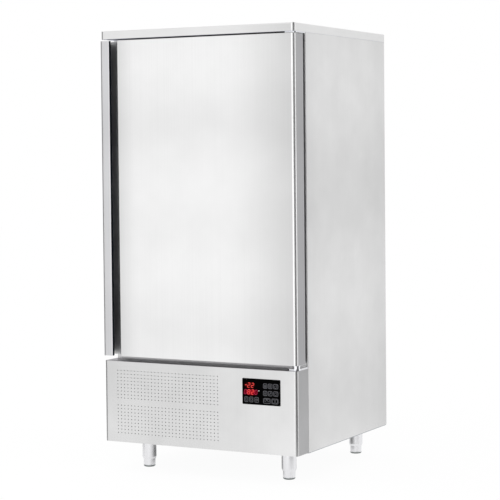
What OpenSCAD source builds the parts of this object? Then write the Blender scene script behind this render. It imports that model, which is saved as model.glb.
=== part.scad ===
// Upright blast chiller: an insulated stainless cabinet with one solid door and
// twelve tray levels, on a machine compartment with adjustable feet.
// Millimetres, +Z up, the door faces -Y. The origin is on the floor, under the
// middle of the cabinet.

/* [Cabinet] */
// Width over the two side panels
body_w = 794; // [770:2:850]
// Depth from the door's face to the back panel
body_d = 780; // [770:5:850]
// Height of the top cover above the floor
body_h = 1620; // [1600:5:1720]
// Height of the shell's lower edge above the floor
base_z = 110; // [95:1:120]
// Height of the machine compartment's front panel
base_h = 298; // [292:1:312]
// Height of the top cover's fascia
cap_h = 30; // [24:1:36]
// Outer radius of the top cover's upper edges
cap_r = 4; // [2:0.5:6]
// Depth by which the top cover stays short of the back panel
cap_setback = 3; // [2:0.5:5]
// Depth of the space in front of the cabinet that the door fills
door_zone = 90; // [88:1:96]
// Thickness of the outer stainless sheets
sheet = 1.2; // [1:0.1:1.5]
// Outer radius of the folded front corners
bend_r = 12.5; // [10:0.5:14]
// Width of the folds along the side panels' front and rear edges
panel_fold = 22; // [18:1:26]
// Gap between neighbouring sheets
seam = 0.3; // [0.2:0.05:0.4]
// Width of the lip under the front panel
panel_lip = 20; // [15:1:24]
// Depth by which the base pan hangs below the shell
pan_drop = 3; // [2:0.5:5]
// Thickness of the base pan
pan_t = 1.5; // [1.2:0.1:2]
// Height of the base pan's turned-up lip
pan_lip = 25; // [18:1:30]

/* [Insulated box] */
// Thickness of the side walls
wall = 60; // [56:1:64]
// Thickness of the floor
floor_t = 66; // [60:1:72]
// Distance from the cavity's ceiling to the top of the top cover
ceiling_t = 90; // [82:1:100]
// Thickness of the back wall
back_wall = 60; // [54:1:66]
// Thickness of the inner liner
liner_t = 1; // [0.8:0.1:1.2]
// Radius of the cavity's long corners
cavity_r = 20; // [16:1:24]
// Depth of the plastic thermal break behind the front frame
break_d = 30; // [24:1:36]
// Wall of the thermal break
break_t = 3; // [2:0.5:4]

/* [Door] */
// Thickness of the door without its liner
door_t = 67; // [64:0.5:68]
// Gap between the front panel and the door
gap_under_door = 19; // [17:0.5:22]
// Gap between the door and the top cover
gap_over_door = 6; // [5.6:0.1:7]
// Overhang of the finger strip past the cabinet's left side
strip_over = 5; // [3:0.5:7]
// Width of the finger strip
strip_w = 41; // [37:1:43]
// Width of the finger channel's mouth
channel_w = 34; // [30:1:40]
// Depth of the finger channel
channel_d = 55; // [50:1:57]
// Depth of the grip lip along the strip
lip_d = 15; // [12:1:18]
// Width of the hem at the end of the lip
hem_w = 12; // [9:1:14]
// Centreline radius of the sharper folds
fold_r = 3; // [2.5:0.25:3.5]
// Height of the door liner's raised plinth
plinth_h = 16; // [12:1:18]
// Width of the gasket
gasket_w = 26; // [24:1:28]
// Distance from the cavity's edge to the gasket
gasket_gap = 12; // [10:0.5:12.5]

/* [Hinges] */
// Distance of the pivot from the cabinet's right side
hinge_in = 17; // [16:0.5:18]
// Distance of the pivot behind the door's face
hinge_back = 32; // [30:0.5:36]
// Diameter of the pivot pins
pin_d = 12; // [10:0.5:14]
// Radial running clearance of pins, shafts and feet
run_fit = 0.05; // [0.03:0.01:0.08]
// Width of the hinge plates
hinge_w = 48; // [44:1:50]
// Thickness of the upper hinge plate
hinge_top_t = 4; // [3:0.5:4]
// Thickness of the lower hinge plate
hinge_low_t = 6; // [5:0.5:8]
// Depth of the bushes in the door
bush_h = 28; // [22:1:34]
// Wall of the bushes
bush_wall = 4; // [3:0.5:4.5]

/* [Front panel] */
// Diameter of the ventilation holes
perf_d = 3.5; // [3:0.5:6]
// Number of rows in each of the two blocks
perf_rows = 9; // [7:1:9]
// Distance between columns of holes
perf_dx = 14.5; // [13.5:0.1:15]
// Distance between rows of holes
perf_dz = 12.7; // [11.5:0.1:13]
// First column from the cabinet's left side
perf_in = 57; // [50:1:60]
// Least distance of the last column from the cabinet's right side
perf_right = 310; // [300:1:330]
// Lowest row above the panel's lower edge
perf_up = 34.5; // [30:0.5:38]
// Distance between the two blocks' lowest rows
perf_block = 128.5; // [125:0.5:132]
// Width of the touch glass
glass_w = 150; // [140:1:160]
// Height of the touch glass
glass_h = 92; // [86:1:98]
// Thickness of the touch glass
glass_t = 2; // [1.5:0.1:3]
// Distance of the glass from the cabinet's right side
glass_in = 65; // [56:1:70]
// Distance of the glass below the panel's upper edge
glass_down = 33; // [28:1:40]
// Width of the panel's ledge behind the glass
glass_ledge = 6; // [4:0.5:8]

/* [Feet] */
// Distance of the feet from the cabinet's sides
foot_in = 104; // [98:1:120]
// Distance of the front feet from the door's face
foot_front = 140; // [130:1:155]
// Distance of the rear feet from the back panel
foot_rear = 65; // [58:1:80]
// Diameter of the adjustable foot tips
tip_d = 44.5; // [42:0.5:46]
// Wall of the foot sleeves
sleeve_wall = 4.2; // [3.6:0.1:5]
// Wall at the lower end of the sleeves
sleeve_end = 1.7; // [1.2:0.1:2.4]
// Height of a sleeve's lower edge above the floor
sleeve_z = 30; // [26:1:36]
// Height of a sleeve's tapered end
sleeve_taper = 8; // [6:0.5:10]

/* [Rack] */
// Distance between tray levels
level_pitch = 75; // [70:0.5:76]
// Height of the first level above the cavity's floor
level_z = 88; // [80:1:100]
// Least space above the highest level
level_top = 100; // [80:1:140]
// Width of a runner's shelf
runner_w = 36; // [32:1:38]
// Distance of the runners behind the cabinet's front
runner_front = 38; // [32:1:46]
// Gap between the runners and the fan panel
runner_rear = 6; // [4:1:10]
// Thickness of a runner's sheet
runner_t = 2; // [1.5:0.1:2.5]
// Height of a runner's fold
runner_h = 14; // [12:1:16]
// Depth of a rack post
post_d = 14; // [12:1:15]
// Width of a rack post
post_w = 30; // [26:1:34]

/* [Air side] */
// Distance of the fan panel from the cavity's sides
fan_panel_side = 37; // [32:1:42]
// Diameter of the fan openings
fan_hole = 304; // [300:1:308]
// Radial gap round the fan wheels
fan_gap = 6; // [4:0.5:9]
// Height of each fan above or below the cavity's middle
fan_off = 262; // [250:1:270]
// Distance of the evaporator's fins from the cavity's sides
evap_side = 87; // [80:1:95]
// Distance of the evaporator from the cavity's floor and ceiling
evap_up = 53; // [48:1:60]
// Depth of the evaporator
evap_d = 110; // [104:1:116]
// Distance between the evaporator and the back wall
evap_back = 15; // [10:1:20]
// Distance between the fan panel and the evaporator
evap_front = 65; // [60:1:72]
// Distance between evaporator fins
evap_fin = 8; // [7:0.5:10]
// Distance between evaporator tubes
evap_pitch = 46; // [44:0.5:48]
// Diameter of the evaporator tubes
evap_tube = 12; // [10:0.5:13]

/* [Machine side] */
// Distance of the condenser from the cabinet's left side
cond_left = 60; // [54:1:66]
// Distance of the condenser from the cabinet's right side
cond_right = 314; // [308:1:330]
// Depth of the condenser
cond_d = 55; // [50:1:58]
// Height of the condenser
cond_h = 262; // [250:1:264]
// Distance between condenser fins
cond_fin = 7; // [6:0.5:9]
// Distance between condenser tubes
cond_pitch = 26; // [25:0.5:27]
// Diameter of the condenser tubes
cond_tube = 10; // [8:0.5:10]
// Diameter of the condenser fan's opening
cond_hole = 236; // [230:1:238]
// Radial gap round the condenser's fan wheel
cond_gap = 5; // [4:0.5:8]
// Radius of the compressor's shell
comp_r = 105; // [98:1:107]
// Height of the compressor's shell
comp_h = 245; // [230:1:250]
// Radius of the liquid receiver
recv_r = 55; // [50:1:58]
// Diameter of the suction pipe
suction_d = 18; // [16:0.5:20]
// Diameter of the discharge and liquid pipes
liquid_d = 10; // [8:0.5:10]
// Diameter of the drain tube
drain_d = 20; // [18:0.5:22]
// Centreline radius of the suction pipe's bends
suction_bend = 30; // [26:1:34]
// Centreline radius of the liquid pipe's bends
liquid_bend = 18; // [14:1:19]
// Centreline radius of the bends beside the condenser
coil_bend = 12; // [10:1:14]

/* [Hidden] */
$fn = 48;

// Outer planes
half_w = body_w / 2;
front_y = -body_d / 2;
back_y = body_d / 2;
cabinet_y = front_y + door_zone;
base_top = base_z + base_h;
cap_z = body_h - cap_h;
pan_z = base_z - pan_drop;
pan_top = pan_z + pan_t;
floor_top = base_top + sheet;

// Cavity
cav_w = body_w - 2 * wall;
cav_z0 = base_top + floor_t;
cav_z1 = body_h - ceiling_t;
cav_h = cav_z1 - cav_z0;
cav_mid = (cav_z0 + cav_z1) / 2;
cav_back = back_y - back_wall;
snug = 0.1;

// Door
door_x0 = -half_w - strip_over;
door_x1 = half_w;
door_y1 = front_y + door_t;
door_z0 = base_top + gap_under_door;
door_z1 = cap_z - gap_over_door;
door_h = door_z1 - door_z0;
strip_x1 = door_x0 + strip_w;
panel_x0 = strip_x1 + channel_w;
channel_y = front_y + channel_d;
door_liner_t = 1;
plinth_gap = 5;
hinge_x = half_w - hinge_in;
hinge_y = front_y + hinge_back;
bush_d = pin_d + 2 * bush_wall;
bush_flange_d = bush_d + 6;
bush_flange_t = 1.5;
plate_front = front_y + bend_r;
screw_d = 6;
screw_head_d = 11;

// Controller and cable gland
glass_x = half_w - glass_in - glass_w / 2;
glass_z = base_top - glass_down - glass_h / 2;
board_gap = 8;
gland_x = half_w - 120;
gland_z = base_z + 45;
gland_d = 25;
perf_cols = floor((body_w - perf_in - perf_right) / perf_dx) + 1;

// Feet
foot_d = tip_d + 2 * (run_fit + sleeve_wall);
foot_x = half_w - foot_in;
foot_y0 = front_y + foot_front;
foot_y1 = back_y - foot_rear;
tip_h = pan_z - 21;
foot_flange_d = foot_d + 17;
foot_flange_t = 4;

// Evaporator space
evap_w = cav_w - 2 * evap_side;
evap_h = cav_h - 2 * evap_up;
evap_y = cav_back - evap_back - evap_d;
evap_z = cav_z0 + evap_up;
fan_y = evap_y - evap_front;
fan_panel_w = cav_w - 2 * fan_panel_side;
fan_d = fan_hole - 2 * fan_gap;
fan_sheet = 1;
fan_return = 40;
plate_t = 2;
motor_r = 40;
motor_l = 30;
hub_r = 45;
hub_l = 26;
shaft_d = 10;
guard_wire = 3;
collar_l = 32;
post_y = [cabinet_y + 75, fan_y - 70];
runner_y = cabinet_y + runner_front;
runner_l = fan_y - runner_rear - runner_y;
levels = floor((cav_h - level_z - level_top) / level_pitch) + 1;
post_x = cav_w / 2 - post_d;
post_edge = cavity_r + 2;
evap_rows = floor((evap_h - 20) / evap_pitch);
evap_tube_z = evap_z + (evap_h - (evap_rows - 1) * evap_pitch) / 2;
evap_row = [evap_y + evap_d * 0.28, evap_y + evap_d * 0.72];
probe_x = cav_w / 2 - 18;
probe_y = cabinet_y + 16;
probe_z = cav_mid;
probe_d = 14;
probe_l = 120;
probe_tip_l = 122;
holder_z = 50;
holder_h = 12;

// Condenser
cond_x = -half_w + cond_left;
cond_x1 = half_w - cond_right;
cond_w = cond_x1 - cond_x;
cond_fan_d = cond_hole - 2 * cond_gap;
cond_y = front_y + 26;
cond_z = base_top - sheet - 4 - cond_h;
cond_mid_x = cond_x + cond_w / 2;
cond_mid_z = cond_z + cond_h / 2;
shroud_l = 30;
shroud_y = cond_y + cond_d;
shroud_y1 = shroud_y + shroud_l;
cond_hub_r = 30;
cond_hub_l = 24;
cond_motor_r = 36;
cond_motor_l = 60;
cond_shaft_d = 8;
arm_y = shroud_y1 + 30;
arm_t = 3;
cond_row = [cond_y + cond_d * 0.3, cond_y + cond_d * 0.7];
cond_rows = 2 * floor((cond_h - 20) / cond_pitch / 2);
cond_tube_z = cond_z + (cond_h - (cond_rows - 1) * cond_pitch) / 2;
cond_tube_z1 = cond_tube_z + (cond_rows - 1) * cond_pitch;

// Compressor, receiver and pipes
comp_x = cond_x1 + 20;
comp_y = 120;
mount_h = 10;
comp_foot_t = 3;
comp_z = pan_top + mount_h + comp_foot_t;
stub_d = 16;
stub_l = 14;
recv_x = -half_w + 135;
recv_y = -60;
recv_port = 12;
recv_stub = 12;
drier_r = 22;
drier_l = 120;
drier_y = recv_y + 110;
pipe_z = base_top - 40;
recv_h = pipe_z - 44.5 - pan_top;
discharge_z = base_top - 95;
suction_z = base_top - 125;
suction_x = cav_w / 2 - 35;
pipe_y = evap_y + evap_d / 2;
drain_x = -evap_w / 2 + 50;
tray_wall = 1.5;
tray_h = 30;
tray_x0 = -half_w + 25;
tray_x1 = drain_x + 50;
tray_y0 = 175;
tray_y1 = back_y - 20;
box_x0 = cond_x1 + 50;
box_w = 200;
box_y0 = cabinet_y + 20;
box_d = 110;
box_h = base_top - 44.5 - pan_top;

// Colours as the photograph shows them, or as such parts usually are
steel = "#d6d7d8";
zinc = "#aeb2b5";
foam = "#e6dcb8";
copper = "#b8723e";
alu = "#c4c8cb";

// ---- helpers ----

// Extrudes a shape drawn in X and Z from y0 to y1
module along_y(y0, y1) {
    translate([0, y1, 0]) rotate([90, 0, 0]) linear_extrude(y1 - y0) children();
}

// Turns a shape made along +Z so that it points along +Y from y
module facing_y(x, y, z) {
    translate([x, y, z]) rotate([-90, 0, 0]) children();
}

// Rectangle with round corners, centred
module round_rect(w, h, r) {
    square([w - 2 * r, h], center = true);
    square([w, h - 2 * r], center = true);
    for (x = [-1, 1], y = [-1, 1])
        translate([x * (w / 2 - r), y * (h / 2 - r)]) circle(r);
}

// Slot with round ends, centred
module slot(w, h) {
    square([w - h, h], center = true);
    for (x = [-1, 1])
        translate([x * (w - h) / 2, 0]) circle(h / 2);
}

// Plan whose left and right front corners have the radii a and b
module front_plan(x0, x1, y0, y1, a, b) {
    translate([x0 + a, y0]) square([x1 - x0 - a - b, y1 - y0]);
    translate([x0, y0 + a]) square([a, y1 - y0 - a]);
    translate([x1 - b, y0 + b]) square([b, y1 - y0 - b]);
    translate([x0 + a, y0 + a]) circle(a);
    translate([x1 - b, y0 + b]) circle(b);
}

function unit(v) = v / norm(v);

// Section of a folded sheet: straight runs along the centreline p, and a bend of
// centreline radius r[i - 1] at each inner point p[i]. All bends are square.
module folded(p, t, r) {
    last = len(p) - 1;
    for (i = [0:last - 1]) {
        u = unit(p[i + 1] - p[i]);
        side = [-u[1], u[0]] * t / 2;
        a = p[i] + (i == 0 ? 0 : r[i - 1]) * u;
        b = p[i + 1] - (i == last - 1 ? 0 : r[i]) * u;
        polygon([a + side, a - side, b - side, b + side]);
    }
    for (i = [1:last - 1]) {
        u = unit(p[i] - p[i - 1]);
        v = unit(p[i + 1] - p[i]);
        q = r[i - 1];
        k = q + t;
        translate(p[i] - u * q + v * q) intersection() {
            difference() {
                circle(q + t / 2);
                circle(q - t / 2);
            }
            polygon([[0, 0], u * k, (u - v) * k, -v * k]);
        }
    }
}

// Round bar or pipe of radius r from a to b
module rod(a, b, r) {
    d = b - a;
    translate(a) rotate([0, acos(d[2] / norm(d)), atan2(d[1], d[0])]) cylinder(r = r, h = norm(d));
}

// Pipe of diameter d along square-cornered points p, with bends of radius b
module pipe(p, d, b) {
    last = len(p) - 1;
    for (i = [0:last - 1]) {
        u = unit(p[i + 1] - p[i]);
        rod(p[i] + (i == 0 ? 0 : b) * u, p[i + 1] - (i == last - 1 ? 0 : b) * u, d / 2);
    }
    for (i = [1:last - 1]) {
        u = unit(p[i] - p[i - 1]);
        v = unit(p[i + 1] - p[i]);
        n = cross(u, v);
        c = p[i] - u * b + v * b;
        multmatrix([[-v[0], u[0], -n[0], c[0]], [-v[1], u[1], -n[1], c[1]],
            [-v[2], u[2], -n[2], c[2]], [0, 0, 0, 1]])
            rotate_extrude(angle = 90) translate([b, 0]) circle(d / 2);
    }
}

// Return bend from z0 to z1 on a coil's end plate at x, bulging to side s
module return_bend(x, y, z0, z1, d, s) {
    translate([x, y, (z0 + z1) / 2]) rotate([90, 0, 0]) rotate([0, 0, -90 * s])
        rotate_extrude(angle = 180) translate([(z1 - z0) / 2, 0]) circle(d / 2, $fn = 24);
}

// Spherical cap of base radius r and height h
module dome(r, h) {
    ball = (r * r + h * h) / (2 * h);
    intersection() {
        translate([0, 0, h - ball]) sphere(ball, $fn = 96);
        cylinder(r = r + 1, h = h);
    }
}

// Upright vessel of radius r and height h with domed ends of height d
module vessel(r, h, d) {
    translate([0, 0, d]) cylinder(r = r, h = h - 2 * d);
    translate([0, 0, h - d]) dome(r, d);
    translate([0, 0, d]) mirror([0, 0, 1]) dome(r, d);
}

// Comb of fins, drawn in plan: a core with fin edges on both faces
module fin_comb(w, d, pitch, fin_t, groove) {
    fins = floor((w - fin_t) / pitch) + 1;
    start = -((fins - 1) * pitch + fin_t) / 2;
    translate([-w / 2, groove]) square([w, d - 2 * groove]);
    for (i = [0:fins - 1])
        translate([start + i * pitch, 0]) square([fin_t, d]);
}

// Axial fan wheel along +Z, its hub from 0 to h, with cambered blades
module fan_wheel(hub, tip, h, bore, blades, pitch_angle, blade_t) {
    camber_r = tip * 0.8;
    difference() {
        union() {
            cylinder(r = hub, h = h);
            for (i = [0:blades - 1]) rotate([0, 0, i * 360 / blades]) intersection() {
                difference() {
                    cylinder(r = tip, h = h);
                    translate([0, 0, -1]) cylinder(r = hub - 1, h = h + 2);
                }
                translate([0, -tip * 0.36, 0]) cube([tip, tip * 0.72, h]);
                translate([0, -camber_r * sin(pitch_angle), h / 2 + camber_r * cos(pitch_angle)])
                    rotate([0, 90, 0]) difference() {
                        cylinder(r = camber_r + blade_t / 2, h = tip, $fn = 96);
                        translate([0, 0, -1]) cylinder(r = camber_r - blade_t / 2, h = tip + 2, $fn = 96);
                    }
            }
        }
        translate([0, 0, -1]) cylinder(d = bore, h = h + 2);
    }
}

// Section of the cavity, grown by g, drawn in X and Z
module cavity_section(g) {
    translate([0, cav_mid]) round_rect(cav_w + 2 * g, cav_h + 2 * g, cavity_r + g);
}

// Places one solid at each of the four feet
module at_feet() {
    for (x = [-foot_x, foot_x], y = [foot_y0, foot_y1])
        translate([x, y, 0]) children();
}

// The three vertical holes that the suction pipe, the liquid pipe and the drain need
module pipe_passages(z0, z1) {
    for (p = [[suction_x, pipe_y, suction_d], [-suction_x, pipe_y, liquid_d], [drain_x, pipe_y, drain_d]])
        translate([p[0], p[1], z0]) cylinder(d = p[2] + 2 * seam, h = z1 - z0);
}

// ---- shell ----

// Block under the top cover's outline, drawn in by g, from bottom up
module cover_block(g, bottom) {
    x = half_w - g;
    y0 = front_y + g;
    y1 = back_y - cap_setback - g;
    h = body_h - g - bottom;
    r = cap_r - g;
    intersection() {
        translate([0, 0, bottom]) linear_extrude(h) front_plan(-x, x, y0, y1, bend_r - g, bend_r - g);
        translate([0, 0, bottom + h]) rotate([0, 90, 0]) translate([0, 0, -x - 1])
            linear_extrude(2 * x + 2) rotate(-90) front_plan(-y1, -y0, 0, h + 1, r, r);
        along_y(y0 - 1, y1 + 1) translate([0, bottom + h]) mirror([0, 1])
            front_plan(-x, x, 0, h + 1, r, r);
    }
}

module top_cover() color(steel) difference() {
    union() {
        difference() {
            cover_block(0, cap_z);
            cover_block(sheet, cap_z - 1);
        }
        translate([0, 0, cap_z]) linear_extrude(sheet)
            front_plan(-half_w + sheet / 2, half_w - sheet / 2, front_y + sheet / 2,
                cabinet_y - seam, bend_r - sheet / 2, bend_r - sheet / 2);
    }
    hinge_screw_places() translate([0, 0, cap_z - 1]) cylinder(d = screw_d + snug, h = sheet + 2);
}

module side_panel() color(steel) {
    t = sheet / 2;
    y0 = cabinet_y + t;
    y1 = back_y - sheet - t;
    translate([0, 0, base_z]) linear_extrude(cap_z - seam - base_z)
        folded([[half_w - panel_fold, y0], [half_w - t, y0], [half_w - t, y1], [half_w - panel_fold, y1]],
            sheet, [fold_r, fold_r]);
}

module side_panel_right() side_panel();

module side_panel_left() mirror([1, 0, 0]) side_panel();

module back_panel() color(zinc)
    along_y(back_y - sheet, back_y)
        translate([-half_w + fold_r, base_top + seam])
            square([body_w - 2 * fold_r, cap_z - base_top - 2 * seam]);

module rear_grille() color(zinc) {
    slot_w = 130;
    slot_h = 6;
    slot_pitch = 20;
    slots = 9;
    along_y(back_y - sheet, back_y) difference() {
        translate([-half_w + fold_r, base_z]) square([body_w - 2 * fold_r, base_h - seam]);
        for (x = [-1.5, -0.5, 0.5], i = [0:slots - 1])
            translate([x * (slot_w + 30), base_z + 70 + i * slot_pitch])
                slot(slot_w, slot_h);
        translate([gland_x, gland_z]) circle(d = gland_d + 2 * snug);
    }
}

module front_panel() color(steel) difference() {
    translate([0, 0, base_z]) linear_extrude(base_h)
        front_plan(-half_w, half_w, front_y, cabinet_y - seam, bend_r, bend_r);
    translate([0, 0, base_z + sheet]) linear_extrude(base_h - 2 * sheet)
        front_plan(-half_w + sheet, half_w - sheet, front_y + sheet, cabinet_y,
            bend_r - sheet, bend_r - sheet);
    translate([-half_w + panel_lip, front_y + panel_lip, base_z - 1])
        cube([body_w - 2 * panel_lip, door_zone, sheet + 2]);
    for (b = [0, 1], i = [0:perf_cols - 1], j = [0:perf_rows - 1])
        facing_y(-half_w + perf_in + i * perf_dx, front_y - 1,
            base_z + perf_up + b * perf_block + j * perf_dz)
            cylinder(d = perf_d, h = sheet + 2, $fn = 16);
    along_y(front_y - 1, front_y + sheet + 1) translate([glass_x, glass_z])
        round_rect(glass_w - 2 * glass_ledge, glass_h - 2 * glass_ledge, 2);
    hinge_screw_places() translate([0, 0, base_top - sheet - 1]) cylinder(d = screw_d + snug, h = sheet + 2);
}

module base_pan() color(zinc) {
    y0 = cabinet_y + sheet + seam;
    y1 = back_y - 2 * sheet - seam;
    w = body_w - 2 * sheet - 2 * seam;
    corner = fold_r + 1;
    difference() {
        translate([0, (y0 + y1) / 2, pan_z]) linear_extrude(pan_lip) round_rect(w, y1 - y0, corner);
        translate([0, (y0 + y1) / 2, pan_top]) linear_extrude(pan_lip)
            round_rect(w - 2 * pan_t, y1 - y0 - 2 * pan_t, corner - pan_t);
    }
    translate([-half_w + 25, front_y + 22, pan_z])
        cube([body_w - 50, y0 + 2 * corner - front_y - 22, pan_t]);
}

module corner_posts() color(zinc) {
    leg = 30;
    t = 2;
    inset = sheet + 2 * seam + pan_t;
    x = half_w - inset - t / 2;
    y0 = cabinet_y + inset;
    y1 = back_y - sheet - inset;
    y = (y1 - y0 - t) / 2;
    for (i = [0, 1], j = [0, 1])
        translate([0, (y0 + y1) / 2, pan_top]) mirror([i, 0, 0]) mirror([0, j, 0])
            linear_extrude(base_top - pan_top) folded([[x - leg, y], [x, y], [x, y - leg]], t, [2]);
}

module cabinet_floor() color(zinc) difference() {
    y0 = cabinet_y + sheet;
    y1 = back_y - 2 * sheet - snug;
    translate([0, (y0 + y1) / 2, base_top]) linear_extrude(sheet)
        round_rect(body_w - 2 * sheet - 2 * snug, y1 - y0, fold_r);
    pipe_passages(base_top - 1, floor_top + 1);
}

// ---- insulated box ----

module cabinet_foam() color(foam) difference() {
    y0 = cabinet_y + sheet;
    y1 = back_y - cap_setback - sheet - snug;
    intersection() {
        translate([0, (y0 + y1) / 2, floor_top]) linear_extrude(body_h - floor_top)
            round_rect(body_w - 2 * sheet - 2 * snug, y1 - y0, fold_r);
        cover_block(sheet + snug, floor_top);
    }
    along_y(y0 - 1, cabinet_y + break_d) cavity_section(break_t + snug);
    along_y(y0 - 1, cav_back + liner_t + snug) cavity_section(liner_t + snug);
    pipe_passages(floor_top - 1, cav_mid);
}

module front_frame() color(steel)
    along_y(cabinet_y, cabinet_y + sheet) difference() {
        translate([-half_w + panel_fold + seam, base_top])
            square([body_w - 2 * panel_fold - 2 * seam, cap_z - seam - base_top]);
        cavity_section(break_t + snug);
    }

module thermal_break() color("#e9eaea")
    along_y(cabinet_y, cabinet_y + break_d) difference() {
        cavity_section(break_t);
        cavity_section(0);
    }

module cabinet_liner() color(steel) difference() {
    along_y(cabinet_y + break_d, cav_back + liner_t) cavity_section(liner_t);
    along_y(cabinet_y + break_d - 1, cav_back) cavity_section(0);
    pipe_passages(cav_z0 - 5, cav_z0 + 5);
}

// ---- tray rack ----

module rack_posts() color(steel)
    for (s = [0, 1], y = post_y)
        mirror([s, 0, 0]) translate([post_x, y, cav_z0 + post_edge])
            linear_extrude(cav_h - 2 * post_edge) difference() {
                translate([0, -post_w / 2]) square([post_d, post_w]);
                translate([1.5, -post_w / 2 + 1.5]) square([post_d, post_w - 3]);
            }

module runners() color(steel)
    for (i = [0:levels - 1]) {
        z = cav_z0 + level_z + i * level_pitch;
        translate([post_x - runner_w, runner_y, z - runner_t]) cube([runner_w, runner_l, runner_t]);
        translate([post_x - runner_t, runner_y, z - runner_h]) cube([runner_t, runner_l, runner_h]);
    }

module runners_right() runners();

module runners_left() mirror([1, 0, 0]) runners();

// ---- air side ----

module fan_places() {
    for (z = [cav_mid + fan_off, cav_mid - fan_off])
        facing_y(0, fan_y, z) children();
}

module fan_panel() color(steel) difference() {
    union() {
        along_y(fan_y, fan_y + fan_sheet)
            translate([-fan_panel_w / 2, cav_z0]) square([fan_panel_w, cav_h]);
        for (s = [0, 1]) mirror([s, 0, 0])
            translate([fan_panel_w / 2 - fan_sheet, fan_y, cav_z0]) cube([fan_sheet, fan_return, cav_h]);
        for (z = [cav_z0, cav_z1 - fan_sheet])
            translate([-fan_panel_w / 2, fan_y, z]) cube([fan_panel_w, 25, fan_sheet]);
        fan_places() cylinder(d = fan_hole + 2 * fan_sheet, h = collar_l, $fn = 96);
    }
    fan_places() translate([0, 0, -1]) cylinder(d = fan_hole, h = collar_l + 2, $fn = 96);
}

module fan_guards() color("#c9ccce") {
    rings = 6;
    reach = fan_hole / 2 + 11;
    fan_places() {
        for (i = [1:rings])
            translate([0, 0, -2 * guard_wire + 0.3]) translate([0, 0, guard_wire / 2])
                rotate_extrude($fn = 96) translate([i * reach / rings - 2, 0])
                    circle(d = guard_wire, $fn = 16);
        for (a = [0:45:359])
            rotate([0, 0, a]) translate([15, 0, -guard_wire / 2])
                rotate([0, 90, 0]) cylinder(d = guard_wire, h = reach - 15, $fn = 16);
    }
}

module fan_motors() color("#26282a")
    fan_places() {
        cylinder(r = motor_r, h = motor_l);
        cylinder(d = shaft_d, h = motor_l + hub_l);
    }

module evap_wheel(z) color("#2c2e30")
    facing_y(0, fan_y + motor_l + seam, z)
        fan_wheel(hub_r, fan_d / 2, hub_l, shaft_d + 2 * run_fit, 5, 28, 2);

module fan_wheel_upper() evap_wheel(cav_mid + fan_off);

module fan_wheel_lower() evap_wheel(cav_mid - fan_off);

module evaporator_fins() color(alu)
    translate([0, evap_y, evap_z]) linear_extrude(evap_h) fin_comb(evap_w, evap_d, evap_fin, 0.8, 25);

module evaporator_plates() color(zinc)
    for (s = [0, 1]) mirror([s, 0, 0])
        translate([evap_w / 2, evap_y, cav_z0]) cube([plate_t, evap_d, cav_h]);

module evaporator_bends() color(copper)
    for (y = evap_row, s = [-1, 1], i = [(s + 1) / 2:2:evap_rows - 2])
        return_bend(s * (evap_w / 2 + plate_t), y, evap_tube_z + i * evap_pitch,
            evap_tube_z + (i + 1) * evap_pitch, evap_tube, s);

module drip_tray() color(steel) {
    w = evap_w - 2;
    d = evap_d + 4;
    h = evap_z - cav_z0 - 2;
    difference() {
        translate([-w / 2, evap_y - 2, cav_z0]) cube([w, d, h]);
        translate([-w / 2 + tray_wall, evap_y - 2 + tray_wall, cav_z0 + tray_wall])
            cube([w - 2 * tray_wall, d - 2 * tray_wall, h]);
        translate([drain_x, pipe_y, cav_z0 - 1]) cylinder(d = drain_d - 4, h = tray_wall + 2);
    }
}

module drain_tube() color("#8d9194") difference() {
    translate([drain_x, pipe_y, pan_top + 12]) cylinder(d = drain_d, h = cav_z0 - pan_top - 12);
    translate([drain_x, pipe_y, pan_top + 11]) cylinder(d = drain_d - 4, h = cav_z0 - pan_top);
}

module probe_holder() color("#e9eaea") difference() {
    for (z = [0, holder_z])
        translate([probe_x - 9, probe_y - 10, probe_z + z]) cube([cav_w / 2 - probe_x + 9, 20, holder_h]);
    translate([probe_x - 20, probe_y - 4.5, probe_z - 1]) cube([20, 9, probe_l]);
    translate([probe_x, probe_y, probe_z - 1]) cylinder(d = probe_d + 2 * seam, h = probe_l);
}

module core_probe() color("#2c2e30") translate([probe_x, probe_y, probe_z]) {
    translate([0, 0, -10]) cylinder(d = probe_d, h = probe_l);
    translate([0, 0, holder_z + holder_h + seam]) cylinder(d = probe_d + 5, h = 4);
    translate([0, 0, -8 - probe_tip_l]) cylinder(d = 4, h = probe_tip_l);
}

// ---- door ----

// Plan of the door's filled part, drawn in by g: main panel and the web behind the channel
module door_plan(g) {
    front_plan(panel_x0 + g, door_x1 - g, front_y + g, door_y1, fold_r + sheet / 2 - g, bend_r - g);
    translate([door_x0 + g, channel_y + g])
        square([panel_x0 + 2 * fold_r - door_x0, door_y1 - channel_y - g]);
}

module door_skin() color(steel) {
    t = sheet / 2;
    difference() {
        union() {
            translate([0, 0, door_z0]) linear_extrude(door_h) {
                folded([[door_x0 + t, door_y1], [door_x0 + t, front_y + t], [strip_x1 - t, front_y + t],
                    [strip_x1 - t, front_y + lip_d - t], [strip_x1 - hem_w, front_y + lip_d - t]],
                    sheet, [bend_r - t, fold_r, fold_r]);
                folded([[door_x0 + t, channel_y + t], [panel_x0 + t, channel_y + t],
                    [panel_x0 + t, front_y + t], [door_x1 - t, front_y + t], [door_x1 - t, door_y1]],
                    sheet, [fold_r, fold_r, bend_r - t]);
            }
            for (z = [door_z0, door_z1 - sheet])
                translate([0, 0, z]) linear_extrude(sheet) door_plan(t);
        }
        for (z = [door_z0 - 1, door_z1 - sheet - 1])
            translate([hinge_x, hinge_y, z]) cylinder(d = bush_d + 2 * snug, h = sheet + 2);
    }
}

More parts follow.
